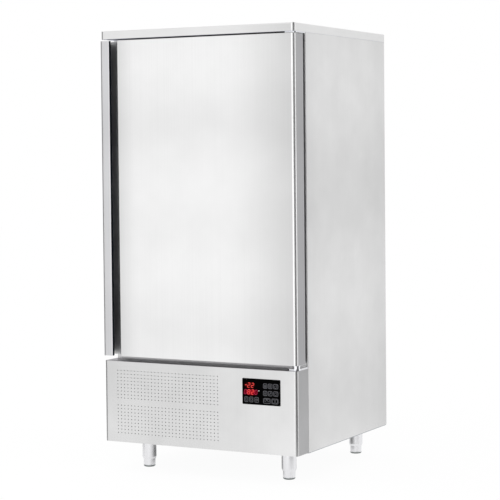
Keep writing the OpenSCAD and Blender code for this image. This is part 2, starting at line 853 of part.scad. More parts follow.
module door_foam() color(foam) difference() {
    union() {
        translate([0, 0, door_z0 + sheet]) linear_extrude(door_h - 2 * sheet) door_plan(sheet + snug);
        along_y(door_y1 - 1, door_y1 + plinth_h) plinth_section(-door_liner_t - snug);
    }
    for (z = [door_z0, door_z1 - bush_h - snug])
        translate([hinge_x, hinge_y, z]) cylinder(d = bush_d + 2 * snug, h = bush_h + snug);
}

// Outline of the raised plinth, grown by g, drawn in X and Z
module plinth_section(g) {
    translate([0, cav_mid])
        round_rect(cav_w - 2 * plinth_gap + 2 * g, cav_h - 2 * plinth_gap + 2 * g, cavity_r + g);
}

module door_liner() color(steel) difference() {
    union() {
        along_y(door_y1, door_y1 + door_liner_t)
            translate([door_x0, door_z0]) square([door_x1 - door_x0, door_h]);
        along_y(door_y1, door_y1 + plinth_h + door_liner_t) plinth_section(0);
    }
    along_y(door_y1 - 1, door_y1 + plinth_h) plinth_section(-door_liner_t);
}

module door_gasket() color("#3a3c40") {
    y0 = door_y1 + door_liner_t;
    y1 = cabinet_y - seam;
    foot = 5;
    head = 7;
    neck = 5;
    for (s = [[y0, y0 + foot, 0], [y0 + foot, y1 - head, neck], [y1 - head, y1, 0]])
        along_y(s[0], s[1]) difference() {
            cavity_section(gasket_gap + gasket_w - s[2]);
            cavity_section(gasket_gap + s[2]);
        }
}

// ---- hinges ----

// The three screws of each hinge plate
module hinge_screw_places() {
    for (x = [-hinge_w + 10, -hinge_w / 2, -10])
        translate([half_w - 1 + x, cabinet_y - 12, 0]) children();
}

// Outline of a hinge plate with front corners of radius r
module hinge_outline(r) front_plan(half_w - 1 - hinge_w, half_w - 1, plate_front, cabinet_y - seam, r, r);

module hinge_plate_top() color("#e3e5e6") difference() {
    union() {
        translate([0, 0, cap_z - hinge_top_t]) linear_extrude(hinge_top_t) hinge_outline(10);
        translate([hinge_x, hinge_y, door_z1 - bush_h + 2])
            cylinder(d = pin_d, h = cap_z - door_z1 + bush_h - 3);
    }
    hinge_screw_places() {
        translate([0, 0, cap_z - hinge_top_t - 1]) cylinder(d = screw_d + snug, h = hinge_top_t + 2);
        translate([0, 0, cap_z - hinge_top_t])
            cylinder(d1 = screw_head_d + snug, d2 = screw_d + snug, h = 3);
    }
}

module hinge_plate_bottom() color("#e3e5e6") difference() {
    union() {
        translate([0, 0, base_top]) linear_extrude(hinge_low_t) hinge_outline(18);
        translate([hinge_x, hinge_y, base_top + 1])
            cylinder(d = bush_flange_d, h = door_z0 - bush_flange_t - seam - base_top - 1);
        translate([hinge_x, hinge_y, base_top + 1]) cylinder(d = pin_d, h = door_z0 + bush_h - 3 - base_top);
    }
    hinge_screw_places() {
        translate([0, 0, base_top - 1]) cylinder(d = screw_d + snug, h = hinge_low_t + 2);
        translate([0, 0, base_top + hinge_low_t - 3])
            cylinder(d1 = screw_d + snug, d2 = screw_head_d + snug, h = 3);
    }
}

module hinge_bushes() color("#f0f0ec") difference() {
    union() {
        for (z = [door_z0, door_z1 - bush_h])
            translate([hinge_x, hinge_y, z]) cylinder(d = bush_d, h = bush_h);
        translate([hinge_x, hinge_y, door_z1]) cylinder(d = bush_flange_d, h = 1);
        translate([hinge_x, hinge_y, door_z0 - bush_flange_t])
            cylinder(d = bush_flange_d, h = bush_flange_t);
    }
    for (z = [door_z0 - 4, door_z1 - bush_h - 1])
        translate([hinge_x, hinge_y, z]) cylinder(d = pin_d + 2 * run_fit, h = bush_h + 8);
}

module hinge_screws() color("#c9ccce")
    hinge_screw_places() {
        translate([0, 0, cap_z - hinge_top_t]) {
            cylinder(d1 = screw_head_d, d2 = screw_d, h = 3);
            cylinder(d = screw_d, h = hinge_top_t + sheet + 4);
        }
        translate([0, 0, base_top - sheet - 4]) cylinder(d = screw_d, h = hinge_low_t + sheet + 4);
        translate([0, 0, base_top + hinge_low_t - 3]) cylinder(d1 = screw_d, d2 = screw_head_d, h = 3);
    }

// ---- controller ----

module touch_glass() color("#0b0b0d")
    along_y(front_y - glass_t, front_y) translate([glass_x, glass_z]) round_rect(glass_w, glass_h, 3);

module control_board() color("#1d5a38") {
    y0 = front_y + sheet + board_gap;
    edge = glass_ledge / 2;
    along_y(y0, y0 + 1.6) translate([glass_x, glass_z]) round_rect(glass_w, glass_h, 3);
    for (x = [-1, 1], z = [-1, 1])
        facing_y(glass_x + x * (glass_w / 2 - edge), front_y + sheet, glass_z + z * (glass_h / 2 - edge))
            cylinder(r = edge - 0.5, h = board_gap);
    for (z = [12, 32])
        translate([glass_x - glass_w / 2 + 10, front_y + 0.5, glass_z - glass_h / 2 + z + 10])
            cube([50, board_gap + sheet - 0.5, 14]);
}

// ---- feet ----

module foot_sleeves() color("#c3c6c9")
    at_feet() rotate_extrude() polygon([
        [tip_d / 2 + run_fit, sleeve_z], [tip_d / 2 + run_fit + sleeve_end, sleeve_z],
        [foot_d / 2, sleeve_z + sleeve_taper], [foot_d / 2, pan_z - foot_flange_t],
        [foot_flange_d / 2, pan_z - foot_flange_t], [foot_flange_d / 2, pan_z],
        [tip_d / 2 + run_fit, pan_z]]);

module foot_tip(x, y) color("#b5b9bc")
    translate([x, y, 0]) rotate_extrude() polygon([
        [0, 0], [tip_d / 2 - 3, 0], [tip_d / 2, 3], [tip_d / 2, 6], [tip_d / 2 - 0.8, 6.8],
        [tip_d / 2 - 0.8, 8.2], [tip_d / 2, 9], [tip_d / 2, tip_h], [0, tip_h]]);

module foot_tip_front_left() foot_tip(-foot_x, foot_y0);

module foot_tip_front_right() foot_tip(foot_x, foot_y0);

module foot_tip_rear_left() foot_tip(-foot_x, foot_y1);

module foot_tip_rear_right() foot_tip(foot_x, foot_y1);

// ---- machine compartment ----

module comp_feet() {
    for (x = [-1, 1], y = [-1, 1])
        translate([comp_x + x * (comp_r - 5), comp_y + y * (comp_r - 5), 0]) children();
}

module compressor() color("#202224") {
    translate([comp_x, comp_y, comp_z]) {
        vessel(comp_r, comp_h, 40);
        translate([0, 0, comp_h * 0.48]) cylinder(r = comp_r + 4, h = 8);
        translate([-35, -comp_r - 22, comp_h * 0.22]) cube([70, 60, 60]);
    }
    translate([comp_x, comp_y, 0]) {
        rod([0, 0, discharge_z], [0, -comp_r - stub_l, discharge_z], stub_d / 2);
        rod([0, 0, suction_z], [comp_r + stub_l, 0, suction_z], suction_d / 2 + 3);
    }
    translate([comp_x, comp_y, comp_z]) cylinder(r = comp_r - 15, h = 16);
    difference() {
        translate([comp_x, comp_y, comp_z - comp_foot_t]) linear_extrude(comp_foot_t)
            round_rect(2 * comp_r + 20, 2 * comp_r + 20, 15);
        comp_feet() translate([0, 0, comp_z - 2 * comp_foot_t]) cylinder(d = 12, h = 3 * comp_foot_t);
    }
}

module compressor_mounts() color("#17181a")
    comp_feet() {
        translate([0, 0, pan_top]) cylinder(d = 26, h = mount_h);
        translate([0, 0, pan_top]) cylinder(d = 12 - 2 * seam, h = mount_h + comp_foot_t + 6);
        translate([0, 0, comp_z + snug]) cylinder(d = 20, h = 6);
    }

module condenser_fins() color(alu)
    translate([cond_mid_x, cond_y, cond_z])
        linear_extrude(cond_h) fin_comb(cond_w, cond_d, cond_fin, 0.8, 16);

module condenser_plates() color(zinc)
    for (x = [cond_x - plate_t, cond_x1])
        translate([x, cond_y, pan_top]) cube([plate_t, cond_d, cond_z + cond_h - pan_top]);

module condenser_bends() color(copper)
    for (y = cond_row, s = [-1, 1], i = [(s + 1) / 2:2:cond_rows - 2])
        return_bend(s > 0 ? cond_x1 + plate_t : cond_x - plate_t, y, cond_tube_z + i * cond_pitch,
            cond_tube_z + (i + 1) * cond_pitch, cond_tube, s);

module condenser_shroud() color(zinc) {
    difference() {
        union() {
            difference() {
                translate([cond_x, shroud_y, cond_z]) cube([cond_w, shroud_l, cond_h]);
                translate([cond_x + 1, shroud_y - 1, cond_z + 1]) cube([cond_w - 2, shroud_l, cond_h - 2]);
            }
            facing_y(cond_mid_x, shroud_y1 - 1, cond_mid_z) cylinder(d = cond_hole + 2, h = 20, $fn = 96);
        }
        facing_y(cond_mid_x, shroud_y1 - 2, cond_mid_z) cylinder(d = cond_hole, h = 40, $fn = 96);
    }
    difference() {
        union() {
            translate([cond_mid_x - cond_hole / 2 - 12, arm_y, cond_mid_z - 12])
                cube([cond_hole + 24, arm_t, 24]);
            facing_y(cond_mid_x, arm_y, cond_mid_z) cylinder(r = cond_motor_r + 6, h = arm_t);
            for (s = [-1, 1])
                translate([cond_mid_x + s * (cond_hole / 2 + 7) - 5, shroud_y1 - 0.5, cond_mid_z - 12])
                    cube([10, arm_y - shroud_y1 + 1, 24]);
        }
        facing_y(cond_mid_x, arm_y - 1, cond_mid_z) cylinder(d = 24, h = arm_t + 2);
    }
}

module condenser_motor() color("#26282a")
    facing_y(cond_mid_x, 0, cond_mid_z) {
        translate([0, 0, arm_y + arm_t]) cylinder(r = cond_motor_r, h = cond_motor_l);
        translate([0, 0, arm_y - 4]) cylinder(d = 22, h = arm_t + 5);
        translate([0, 0, arm_y - 4 - seam - cond_hub_l])
            cylinder(d = cond_shaft_d, h = cond_hub_l + 10);
    }

module condenser_wheel() color("#c4c8cb")
    facing_y(cond_mid_x, arm_y - 4 - 2 * seam - cond_hub_l, cond_mid_z)
        fan_wheel(cond_hub_r, cond_fan_d / 2, cond_hub_l, cond_shaft_d + 2 * run_fit, 4, 28, 1.6);

module receiver() color("#202224") {
    translate([recv_x, recv_y, pan_top]) {
        translate([0, 0, 12]) vessel(recv_r, recv_h - 12, 24);
        difference() {
            cylinder(r = recv_r - 8, h = 24);
            translate([0, 0, -1]) cylinder(r = recv_r - 10, h = 13);
        }
        translate([0, 0, recv_h - 12]) cylinder(d = recv_port, h = 20);
    }
    rod([recv_x, recv_y, cond_tube_z], [recv_x + recv_r + recv_stub, recv_y, cond_tube_z], recv_port / 2);
}

module filter_drier() color(copper) {
    facing_y(recv_x, drier_y, pipe_z) {
        cylinder(r1 = recv_port / 2, r2 = drier_r, h = 18);
        translate([0, 0, 18]) cylinder(r = drier_r, h = drier_l - 36);
        translate([0, 0, drier_l - 18]) cylinder(r1 = drier_r, r2 = recv_port / 2, h = 18);
    }
}

// From the compressor to the condenser's two upper tubes
module discharge_pipe() color(copper) {
    rise_y = -60;
    pipe([[comp_x, comp_y - comp_r - stub_l, discharge_z], [comp_x, rise_y, discharge_z],
        [comp_x, rise_y, cond_tube_z1], [comp_x, cond_row[0], cond_tube_z1],
        [cond_x1 + plate_t, cond_row[0], cond_tube_z1]], liquid_d, coil_bend);
    rod([comp_x, cond_row[1], cond_tube_z1], [cond_x1 + plate_t, cond_row[1], cond_tube_z1], liquid_d / 2);
}

// From the condenser's two lower tubes to the receiver
module condenser_outlet_pipe() color(copper) {
    x = cond_x1 + 2 * coil_bend + 8;
    pipe([[cond_x1 + plate_t, cond_row[0], cond_tube_z], [x, cond_row[0], cond_tube_z],
        [x, recv_y, cond_tube_z], [recv_x + recv_r + recv_stub, recv_y, cond_tube_z]],
        liquid_d, coil_bend);
    rod([x, cond_row[1], cond_tube_z], [cond_x1 + plate_t, cond_row[1], cond_tube_z], liquid_d / 2);
}

// From the receiver through the filter drier up to the evaporator
module liquid_pipe() color(copper) {
    pipe([[recv_x, recv_y, pan_top + recv_h + 8], [recv_x, recv_y, pipe_z],
        [recv_x, drier_y, pipe_z]], liquid_d, liquid_bend);
    pipe([[recv_x, drier_y + drier_l, pipe_z], [recv_x, pipe_y, pipe_z],
        [-suction_x, pipe_y, pipe_z], [-suction_x, pipe_y, cav_mid],
        [-evap_w / 2 - plate_t, pipe_y, cav_mid]], liquid_d, liquid_bend);
}

// From the evaporator down to the compressor
module suction_pipe() color(copper)
    pipe([[comp_x + comp_r + stub_l, comp_y, suction_z], [suction_x, comp_y, suction_z],
        [suction_x, pipe_y, suction_z], [suction_x, pipe_y, cav_mid],
        [evap_w / 2 + plate_t, pipe_y, cav_mid]], suction_d, suction_bend);

module condensate_tray() color("#e9eaea") difference() {
    translate([tray_x0, tray_y0, pan_top]) cube([tray_x1 - tray_x0, tray_y1 - tray_y0, tray_h]);
    translate([tray_x0 + tray_wall, tray_y0 + tray_wall, pan_top + tray_wall])
        cube([tray_x1 - tray_x0 - 2 * tray_wall, tray_y1 - tray_y0 - 2 * tray_wall, tray_h]);
}

module electrical_box() color("#8f9499") {
    difference() {
        translate([box_x0, box_y0, pan_top]) cube([box_w, box_d, box_h]);
        translate([box_x0 + tray_wall, box_y0 + tray_wall, pan_top + tray_wall])
            cube([box_w - 2 * tray_wall, box_d, box_h - 2 * tray_wall]);
    }
    translate([box_x0 - 2, box_y0 + box_d, pan_top + 3]) cube([box_w + 4, tray_wall, box_h - 6]);
}

module cable_gland() color("#2c2e30") difference() {
    union() {
        facing_y(gland_x, back_y - sheet - 12, gland_z) cylinder(d = gland_d, h = 12 + sheet);
        facing_y(gland_x, back_y, gland_z) cylinder(d = 32, h = 5, $fn = 6);
        facing_y(gland_x, back_y + 5, gland_z) cylinder(d1 = 28, d2 = 20, h = 7);
    }
    facing_y(gland_x, back_y - sheet - 13, gland_z) cylinder(d = 13, h = 40);
}

top_cover();
side_panel_left();
side_panel_right();
back_panel();
rear_grille();
front_panel();
base_pan();
corner_posts();
cabinet_floor();
cabinet_foam();
front_frame();
thermal_break();
cabinet_liner();
rack_posts();
runners_left();
runners_right();
fan_panel();
fan_guards();
fan_motors();
fan_wheel_upper();
fan_wheel_lower();
evaporator_fins();
evaporator_bends();
evaporator_plates();
drip_tray();
drain_tube();
probe_holder();
core_probe();
door_skin();
door_foam();
door_liner();
door_gasket();
hinge_plate_top();
hinge_plate_bottom();
hinge_bushes();
hinge_screws();
touch_glass();
control_board();
foot_sleeves();
foot_tip_front_left();
foot_tip_front_right();
foot_tip_rear_left();
foot_tip_rear_right();
compressor();
compressor_mounts();
condenser_fins();
condenser_bends();
condenser_plates();
condenser_shroud();
condenser_motor();
condenser_wheel();
receiver();
filter_drier();
discharge_pipe();
condenser_outlet_pipe();
liquid_pipe();
suction_pipe();
condensate_tray();
electrical_box();
cable_gland();
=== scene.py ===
"""Looks of the upright blast chiller: finishes of every part, the touch glass's display, the door
gasket's bellows, the screws of the back, and the studio. Metres, in the CAD model's frame: +Z up, the
door faces -Y."""

import bpy
import numpy as np
from mathutils import Matrix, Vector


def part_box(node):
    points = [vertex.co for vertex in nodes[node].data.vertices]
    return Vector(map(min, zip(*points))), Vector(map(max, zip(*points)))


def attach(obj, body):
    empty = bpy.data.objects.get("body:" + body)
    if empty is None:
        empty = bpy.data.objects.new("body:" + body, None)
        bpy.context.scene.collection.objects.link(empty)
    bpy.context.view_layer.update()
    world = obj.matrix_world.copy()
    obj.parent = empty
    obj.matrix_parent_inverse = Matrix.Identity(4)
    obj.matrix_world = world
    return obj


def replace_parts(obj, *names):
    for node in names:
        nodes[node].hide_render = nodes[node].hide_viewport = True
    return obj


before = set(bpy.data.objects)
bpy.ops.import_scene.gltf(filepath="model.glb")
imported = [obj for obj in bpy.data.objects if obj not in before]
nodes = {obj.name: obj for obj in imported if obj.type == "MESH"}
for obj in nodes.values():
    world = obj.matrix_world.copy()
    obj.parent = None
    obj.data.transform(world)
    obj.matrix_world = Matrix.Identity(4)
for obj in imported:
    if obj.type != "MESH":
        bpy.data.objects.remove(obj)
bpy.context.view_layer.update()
MM = 0.001


# ---- objects, colours and nodes ----

def placed(name, data):
    """A new object of the scene, at the origin, that holds the given mesh, camera or lamp."""
    made = bpy.data.objects.new(name, data)
    bpy.context.scene.collection.objects.link(made)
    return made


def turned_to(place, right, up, back):
    """Matrix of an object at a place, with its X, Y and Z axes along right, up and back."""
    turn = Matrix([list(row) for row in np.column_stack([right, up, back])]).to_4x4()
    return Matrix.Translation(place) @ turn


def linear(hex_colour):
    """An sRGB hex colour as the linear RGBA that the shaders use."""
    srgb = np.array([int(hex_colour[i:i + 2], 16) for i in (1, 3, 5)]) / 255.0
    rgb = np.where(srgb <= 0.04045, srgb / 12.92, ((srgb + 0.055) / 1.055) ** 2.4)
    return (*rgb.tolist(), 1.0)


def add(tree, kind, inputs=(), **settings):
    """Adds one node: settings are its properties, and inputs maps a socket to a value or another socket."""
    node = tree.nodes.new(kind)
    for name, value in settings.items():
        setattr(node, name, value)
    for socket, value in dict(inputs).items():
        if isinstance(value, bpy.types.NodeSocket):
            tree.links.new(value, node.inputs[socket])
        else:
            node.inputs[socket].default_value = value
    return node


def finish_named(name, **sockets):
    """A new material with a Principled shader whose sockets, underscores for spaces, have these values."""
    material = bpy.data.materials.new(name)
    material.use_nodes = True
    shader = material.node_tree.nodes["Principled BSDF"]
    for socket, value in sockets.items():
        shader.inputs[socket.replace("_", " ")].default_value = value
    return material, material.node_tree, shader


def within(tree, place, spans):
    """1 inside a box of the object's coordinates and 0 outside: spans maps an axis to (low, high) in mm."""
    apart = add(tree, "ShaderNodeSeparateXYZ", {0: place})
    mask = 1.0
    for axis, (low, high) in spans.items():
        inside = add(tree, "ShaderNodeMath", {0: apart.outputs[axis], 1: (low + high) / 2 * MM,
                                              2: (high - low) / 2 * MM}, operation="COMPARE")
        mask = add(tree, "ShaderNodeMath", {0: mask, 1: inside.outputs[0]}, operation="MULTIPLY").outputs[0]
    return mask


def toned(tree, hex_colour, pattern, low, high):
    """A colour times a tone that goes from low to high as the pattern goes from 0 to 1."""
    tone = add(tree, "ShaderNodeMapRange", {"Value": pattern, "To Min": low, "To Max": high})
    return add(tree, "ShaderNodeVectorMath", {0: linear(hex_colour)[:3], 1: tone.outputs[0]},
               operation="MULTIPLY").outputs[0]


# ---- camera, at the photograph's viewing angle ----

CAMERA_AT = (3.0117, -5.6229, 1.1814)
CAMERA_YAW, CAMERA_PITCH, CAMERA_ROLL = 0.49032, 0.03888, 0.00956  # radians
FOCAL_PX, IMAGE_PX, HORIZON_PX = 1689.25, 500.0, 215.36
SENSOR_MM = 36.0
SIGHT_END = 60.0  # metres


def aim_camera():
    """Right, up and back axes from the yaw to the left, the tilt down and the roll, in that order."""
    level_right = np.array([np.cos(CAMERA_YAW), np.sin(CAMERA_YAW), 0.0])
    level_ahead = np.array([-np.sin(CAMERA_YAW), np.cos(CAMERA_YAW), 0.0])
    plumb = np.array([0.0, 0.0, 1.0])
    ahead = level_ahead * np.cos(CAMERA_PITCH) - plumb * np.sin(CAMERA_PITCH)
    up = plumb * np.cos(CAMERA_PITCH) + level_ahead * np.sin(CAMERA_PITCH)
    right = level_right * np.cos(CAMERA_ROLL) - up * np.sin(CAMERA_ROLL)
    up = level_right * np.sin(CAMERA_ROLL) + up * np.cos(CAMERA_ROLL)
    camera = placed("camera", bpy.data.cameras.new("camera"))
    camera.matrix_world = turned_to(CAMERA_AT, right, up, -ahead)
    camera.data.sensor_width = SENSOR_MM
    camera.data.lens = FOCAL_PX * SENSOR_MM / IMAGE_PX
    camera.data.shift_y = (HORIZON_PX - IMAGE_PX / 2) / IMAGE_PX
    camera.data.clip_end = SIGHT_END
    bpy.context.scene.camera = camera


aim_camera()


# ---- metals ----

STREAK_LONG = 1.0  # metres along the grain
STREAK_NOISE = (0.3, 0.7)  # noise values of the darkest and the palest streak
STREAK_TONE = (0.980, 1.01)
STREAK_GLOSS = 0.05  # of roughness, up and down
STREAK_HEIGHT, STREAK_RELIEF = 0.4, 0.04  # the bump's distance in mm and its strength
CLOUD_MM = 120.0
CLOUD_NOISE = (0.25, 0.75)
WAVE_FACTOR = 20  # a wave node turns its scaled coordinate into a phase with this factor
SQUARE_ON = 0.97  # squared normal along an axis from which a face begins to count as square to it
# The right side's folded edge, which gets painted shade: its place in mm, and how squarely it looks to the
# right
SHADED_FOLD_PLACE = {"X": (390.0, 400.0)}
FOLD_SQUARE = 0.985


def painted_reflection_band(tree, place, period, dark, depth):
    """Painted reflection of slow level waves in a sheet: darker by depth at the height dark and every period
    from it.

    The bands are a wave node's, darkest at phase 0. Heights are in mm."""
    per_metre = 2 * np.pi / (WAVE_FACTOR * period * MM)
    wave = add(tree, "ShaderNodeTexWave",
               {"Vector": place, "Scale": per_metre, "Distortion": 0.9, "Detail": 1.0, "Detail Scale": 0.9,
                "Phase Offset": -WAVE_FACTOR * per_metre * dark * MM}, bands_direction="Z")
    return add(tree, "ShaderNodeMapRange",
               {"Value": wave.outputs["Fac"], "To Min": 1 - depth, "To Max": 1.0}).outputs[0]


def painted_edge_shade(tree, place, normal, facing, axis, start, end, depth):
    """Painted shade that falls by depth from start to end, in mm, along an axis, on faces square to the
    facing axis.

    A depth below 0 makes it paler: a painted highlight."""
    square = add(tree, "ShaderNodeMath", {0: normal.outputs[facing], 1: normal.outputs[facing]},
                 operation="MULTIPLY")
    on_face = add(tree, "ShaderNodeMapRange",
                  {"Value": square.outputs[0], "From Min": SQUARE_ON, "To Max": depth})
    across = add(tree, "ShaderNodeSeparateXYZ", {0: place})
    fall = add(tree, "ShaderNodeMapRange", {"Value": across.outputs[axis], "From Min": start * MM,
                                            "From Max": end * MM}, interpolation_type="SMOOTHSTEP")
    darker = add(tree, "ShaderNodeMath", {0: fall.outputs[0], 1: on_face.outputs[0]}, operation="MULTIPLY")
    return add(tree, "ShaderNodeMath", {0: 1.0, 1: darker.outputs[0]}, operation="SUBTRACT").outputs[0]


def brushed_stainless(name, hex_colour, roughness, grain, streak_mm=3.0, cloud=0.02, bands=(), edges=(),
                      zones=(), painted_flange_shade=None):
    """AISI 304 sheet with a number 4 belt finish: satin, with fine grain in one direction.

    The eye gets faint streaks along the grain and soft clouds. The level bands and paler middles of a sheet
    that isn't quite flat are painted reflections and painted shade. The real grain is about 0.1 mm wide, too
    fine to show, so the streaks are drawn streak_mm wide. grain is their axis, and cloud is how far the
    clouds change the tone up and down. bands are painted_reflection_band's (period, dark, depth), and edges
    are painted_edge_shade's (facing, axis, start, end, depth). zones are (spans in mm, hex): parts with a
    colour of their own, which is painted shade in the finger channel, on the ledge and under the cover.
    painted_flange_shade is the painted shade of the folded edge on the right.
    """
    material, tree, steel = finish_named(name, Metallic=1.0, Roughness=roughness)
    surface = add(tree, "ShaderNodeTexCoord")
    place = surface.outputs["Object"]
    normal = add(tree, "ShaderNodeSeparateXYZ", {0: surface.outputs["Normal"]})

    stretch = [1 / (streak_mm * MM)] * 3
    stretch["xyz".index(grain)] = 1 / STREAK_LONG
    streak_place = add(tree, "ShaderNodeMapping", {"Vector": place, "Scale": stretch})
    streaks = add(tree, "ShaderNodeTexNoise",
                  {"Vector": streak_place.outputs[0], "Scale": 1.0, "Detail": 3.0})
    streak = add(tree, "ShaderNodeMapRange",
                 {"Value": streaks.outputs[0], "From Min": STREAK_NOISE[0], "From Max": STREAK_NOISE[1],
                  "To Min": STREAK_TONE[0], "To Max": STREAK_TONE[1]})
    clouds = add(tree, "ShaderNodeTexNoise", {"Vector": place, "Scale": 1 / (CLOUD_MM * MM), "Detail": 2.0})
    soft = add(tree, "ShaderNodeMapRange",
               {"Value": clouds.outputs[0], "From Min": CLOUD_NOISE[0], "From Max": CLOUD_NOISE[1],
                "To Min": 1 - cloud, "To Max": 1 + cloud})
    grain_tones_and_painted_shade = [streak.outputs[0], soft.outputs[0]]
    # The level bands are painted reflections, and the edge falls are painted shade
    grain_tones_and_painted_shade += [painted_reflection_band(tree, place, *band) for band in bands]
    grain_tones_and_painted_shade += [painted_edge_shade(tree, place, normal, *edge) for edge in edges]
    tone = 1.0
    for part in grain_tones_and_painted_shade:
        tone = add(tree, "ShaderNodeMath", {0: tone, 1: part}, operation="MULTIPLY").outputs[0]

    # Zones: own colours, and painted shade in the finger channel, on the ledge and under the cover
    colour_and_painted_shade_masks = [(within(tree, place, spans), zone_hex) for spans, zone_hex in zones]
    # Painted shade on the folded edge on the right
    if painted_flange_shade:
        square = add(tree, "ShaderNodeMapRange",
                     {"Value": normal.outputs["X"], "From Min": FOLD_SQUARE, "From Max": 1.0})
        folded = add(tree, "ShaderNodeMath", {0: square.outputs[0], 1: within(tree, place, SHADED_FOLD_PLACE)},
                     operation="MULTIPLY")
        colour_and_painted_shade_masks.append((folded.outputs[0], painted_flange_shade))
    colour = linear(hex_colour)[:3]
    for mask, mask_hex in colour_and_painted_shade_masks:
        colour = add(tree, "ShaderNodeMix", {"Factor": mask, "A": colour, "B": linear(mask_hex)[:3]},
                     data_type="VECTOR").outputs["Result"]
    shade = add(tree, "ShaderNodeVectorMath", {0: colour, 1: tone}, operation="MULTIPLY")
    tree.links.new(shade.outputs[0], steel.inputs["Base Color"])

    dull = add(tree, "ShaderNodeMapRange", {"Value": streaks.outputs[0], "To Min": roughness - STREAK_GLOSS,
                                            "To Max": roughness + STREAK_GLOSS})
    tree.links.new(dull.outputs[0], steel.inputs["Roughness"])
    relief = add(tree, "ShaderNodeBump", {"Height": streaks.outputs[0], "Strength": STREAK_RELIEF,
                                          "Distance": STREAK_HEIGHT * MM})
    tree.links.new(relief.outputs[0], steel.inputs["Normal"])
    return material


def galvanised_sheet(name, hex_colour, spangle_mm):
    """Hot-dip zinc on steel: matt, with a spangle of flat crystals that differ in tone and gloss."""
    material, tree, zinc = finish_named(name, Metallic=1.0, Roughness=0.45)
    place = add(tree, "ShaderNodeTexCoord").outputs["Object"]
    spangle = add(tree, "ShaderNodeTexVoronoi", {"Vector": place, "Scale": 1 / (spangle_mm * MM)})
    crystal = add(tree, "ShaderNodeSeparateColor", {"Color": spangle.outputs["Color"]})
    shade = toned(tree, hex_colour, crystal.outputs[0], low=0.88, high=1.06)
    tree.links.new(shade, zinc.inputs["Base Color"])
    dull = add(tree, "ShaderNodeMapRange", {"Value": crystal.outputs[1], "To Min": 0.36, "To Max": 0.55})
    tree.links.new(dull.outputs[0], zinc.inputs["Roughness"])
    return material


def worn_metal(name, hex_colour, roughness, mark_mm, spread):
    """Bright metal with faint drawing and handling marks mark_mm apart, which change its tone by spread up
    and down, and its roughness by a quarter."""
    material, tree, metal = finish_named(name, Metallic=1.0, Roughness=roughness)
    place = add(tree, "ShaderNodeTexCoord").outputs["Object"]
    marks = add(tree, "ShaderNodeTexNoise", {"Vector": place, "Scale": 1 / (mark_mm * MM), "Detail": 4.0})
    shade = toned(tree, hex_colour, marks.outputs[0], low=1 - spread, high=1 + spread)
    tree.links.new(shade, metal.inputs["Base Color"])
    dull = add(tree, "ShaderNodeMapRange",
               {"Value": marks.outputs[0], "To Min": roughness * 0.75, "To Max": roughness * 1.25})
    tree.links.new(dull.outputs[0], metal.inputs["Roughness"])
    return material


# ---- plastics, rubber, foam, paint and glass ----

GRAIN_RELIEF = 0.5  # strength of a moulded grain's bump


def moulded(name, hex_colour, roughness, ior, grain_mm, depth_mm, spread=0.04):
    """Moulded or sprayed surface: an even colour with a fine leathery grain of the given size and depth,
    which changes its tone by spread up and down."""
    material, tree, skin = finish_named(name, Roughness=roughness, IOR=ior)
    place = add(tree, "ShaderNodeTexCoord").outputs["Object"]
    grain = add(tree, "ShaderNodeTexNoise", {"Vector": place, "Scale": 1 / (grain_mm * MM), "Detail": 3.0})
    shade = toned(tree, hex_colour, grain.outputs[0], low=1 - spread, high=1 + spread)
    tree.links.new(shade, skin.inputs["Base Color"])
    relief = add(tree, "ShaderNodeBump", {"Height": grain.outputs[0], "Strength": GRAIN_RELIEF,
                                          "Distance": depth_mm * MM})
    tree.links.new(relief.outputs[0], skin.inputs["Normal"])
    return material


# Places on the touch glass are in mm from its left edge and down from its top edge
glass_low, glass_high = [np.array(corner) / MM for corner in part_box("touch_glass")]
GLASS_LEFT, GLASS_TOP, GLASS_FACE = glass_low[0], glass_high[2], glass_low[1]
# Each display's glow: middle and half size of an ellipse, and its colour
GLOWS = [((28.5, 24.0), (26.0, 12.5), "#4A0C0A"), ((34.0, 48.0), (32.0, 13.5), "#92081C")]
GLOW_CORE = 0.35  # share of the ellipse where the glow is full
SMEAR_MM = 25.0


def printed_glass():
    """Float glass printed black on its back: flat black that mirrors hardly anything, as photographed, with
    a slight smear of handling marks in its gloss. The displays shine dully through the print round them."""
    material, tree, glass = finish_named("back_printed_glass", Base_Color=linear("#020202"), Roughness=0.08,
                                         IOR=1.52, Specular_IOR_Level=0.012, Emission_Strength=1.0)
    place = add(tree, "ShaderNodeTexCoord").outputs["Object"]
    smear = add(tree, "ShaderNodeTexNoise", {"Vector": place, "Scale": 1 / (SMEAR_MM * MM), "Detail": 3.0})
    dull = add(tree, "ShaderNodeMapRange", {"Value": smear.outputs[0], "To Min": 0.05, "To Max": 0.14})
    tree.links.new(dull.outputs[0], glass.inputs["Roughness"])
    glow = (0.0, 0.0, 0.0)
    for (across, down), (half_across, half_down), hex_colour in GLOWS:
        # The place scaled so that the glow's edge is at 1: its length is the distance from the middle
        scale = (1 / (half_across * MM), 0.0, 1 / (half_down * MM))
        middle = ((GLASS_LEFT + across) * MM * scale[0], 0.0, (GLASS_TOP - down) * MM * scale[2])
        scaled = add(tree, "ShaderNodeVectorMath", {0: place, 1: scale}, operation="MULTIPLY")
        apart = add(tree, "ShaderNodeVectorMath", {0: scaled.outputs[0], 1: middle}, operation="DISTANCE")
        faded = add(tree, "ShaderNodeMapRange",
                    {"Value": apart.outputs["Value"], "From Min": GLOW_CORE, "From Max": 1.0, "To Min": 1.0,
                     "To Max": 0.0}, interpolation_type="SMOOTHSTEP")
        red = add(tree, "ShaderNodeVectorMath", {0: linear(hex_colour)[:3], 1: faded.outputs[0]},
                  operation="MULTIPLY")
        glow = add(tree, "ShaderNodeVectorMath", {0: glow, 1: red.outputs[0]},
                   operation="MAXIMUM").outputs[0]
    tree.links.new(glow, glass.inputs["Emission Color"])
    return material


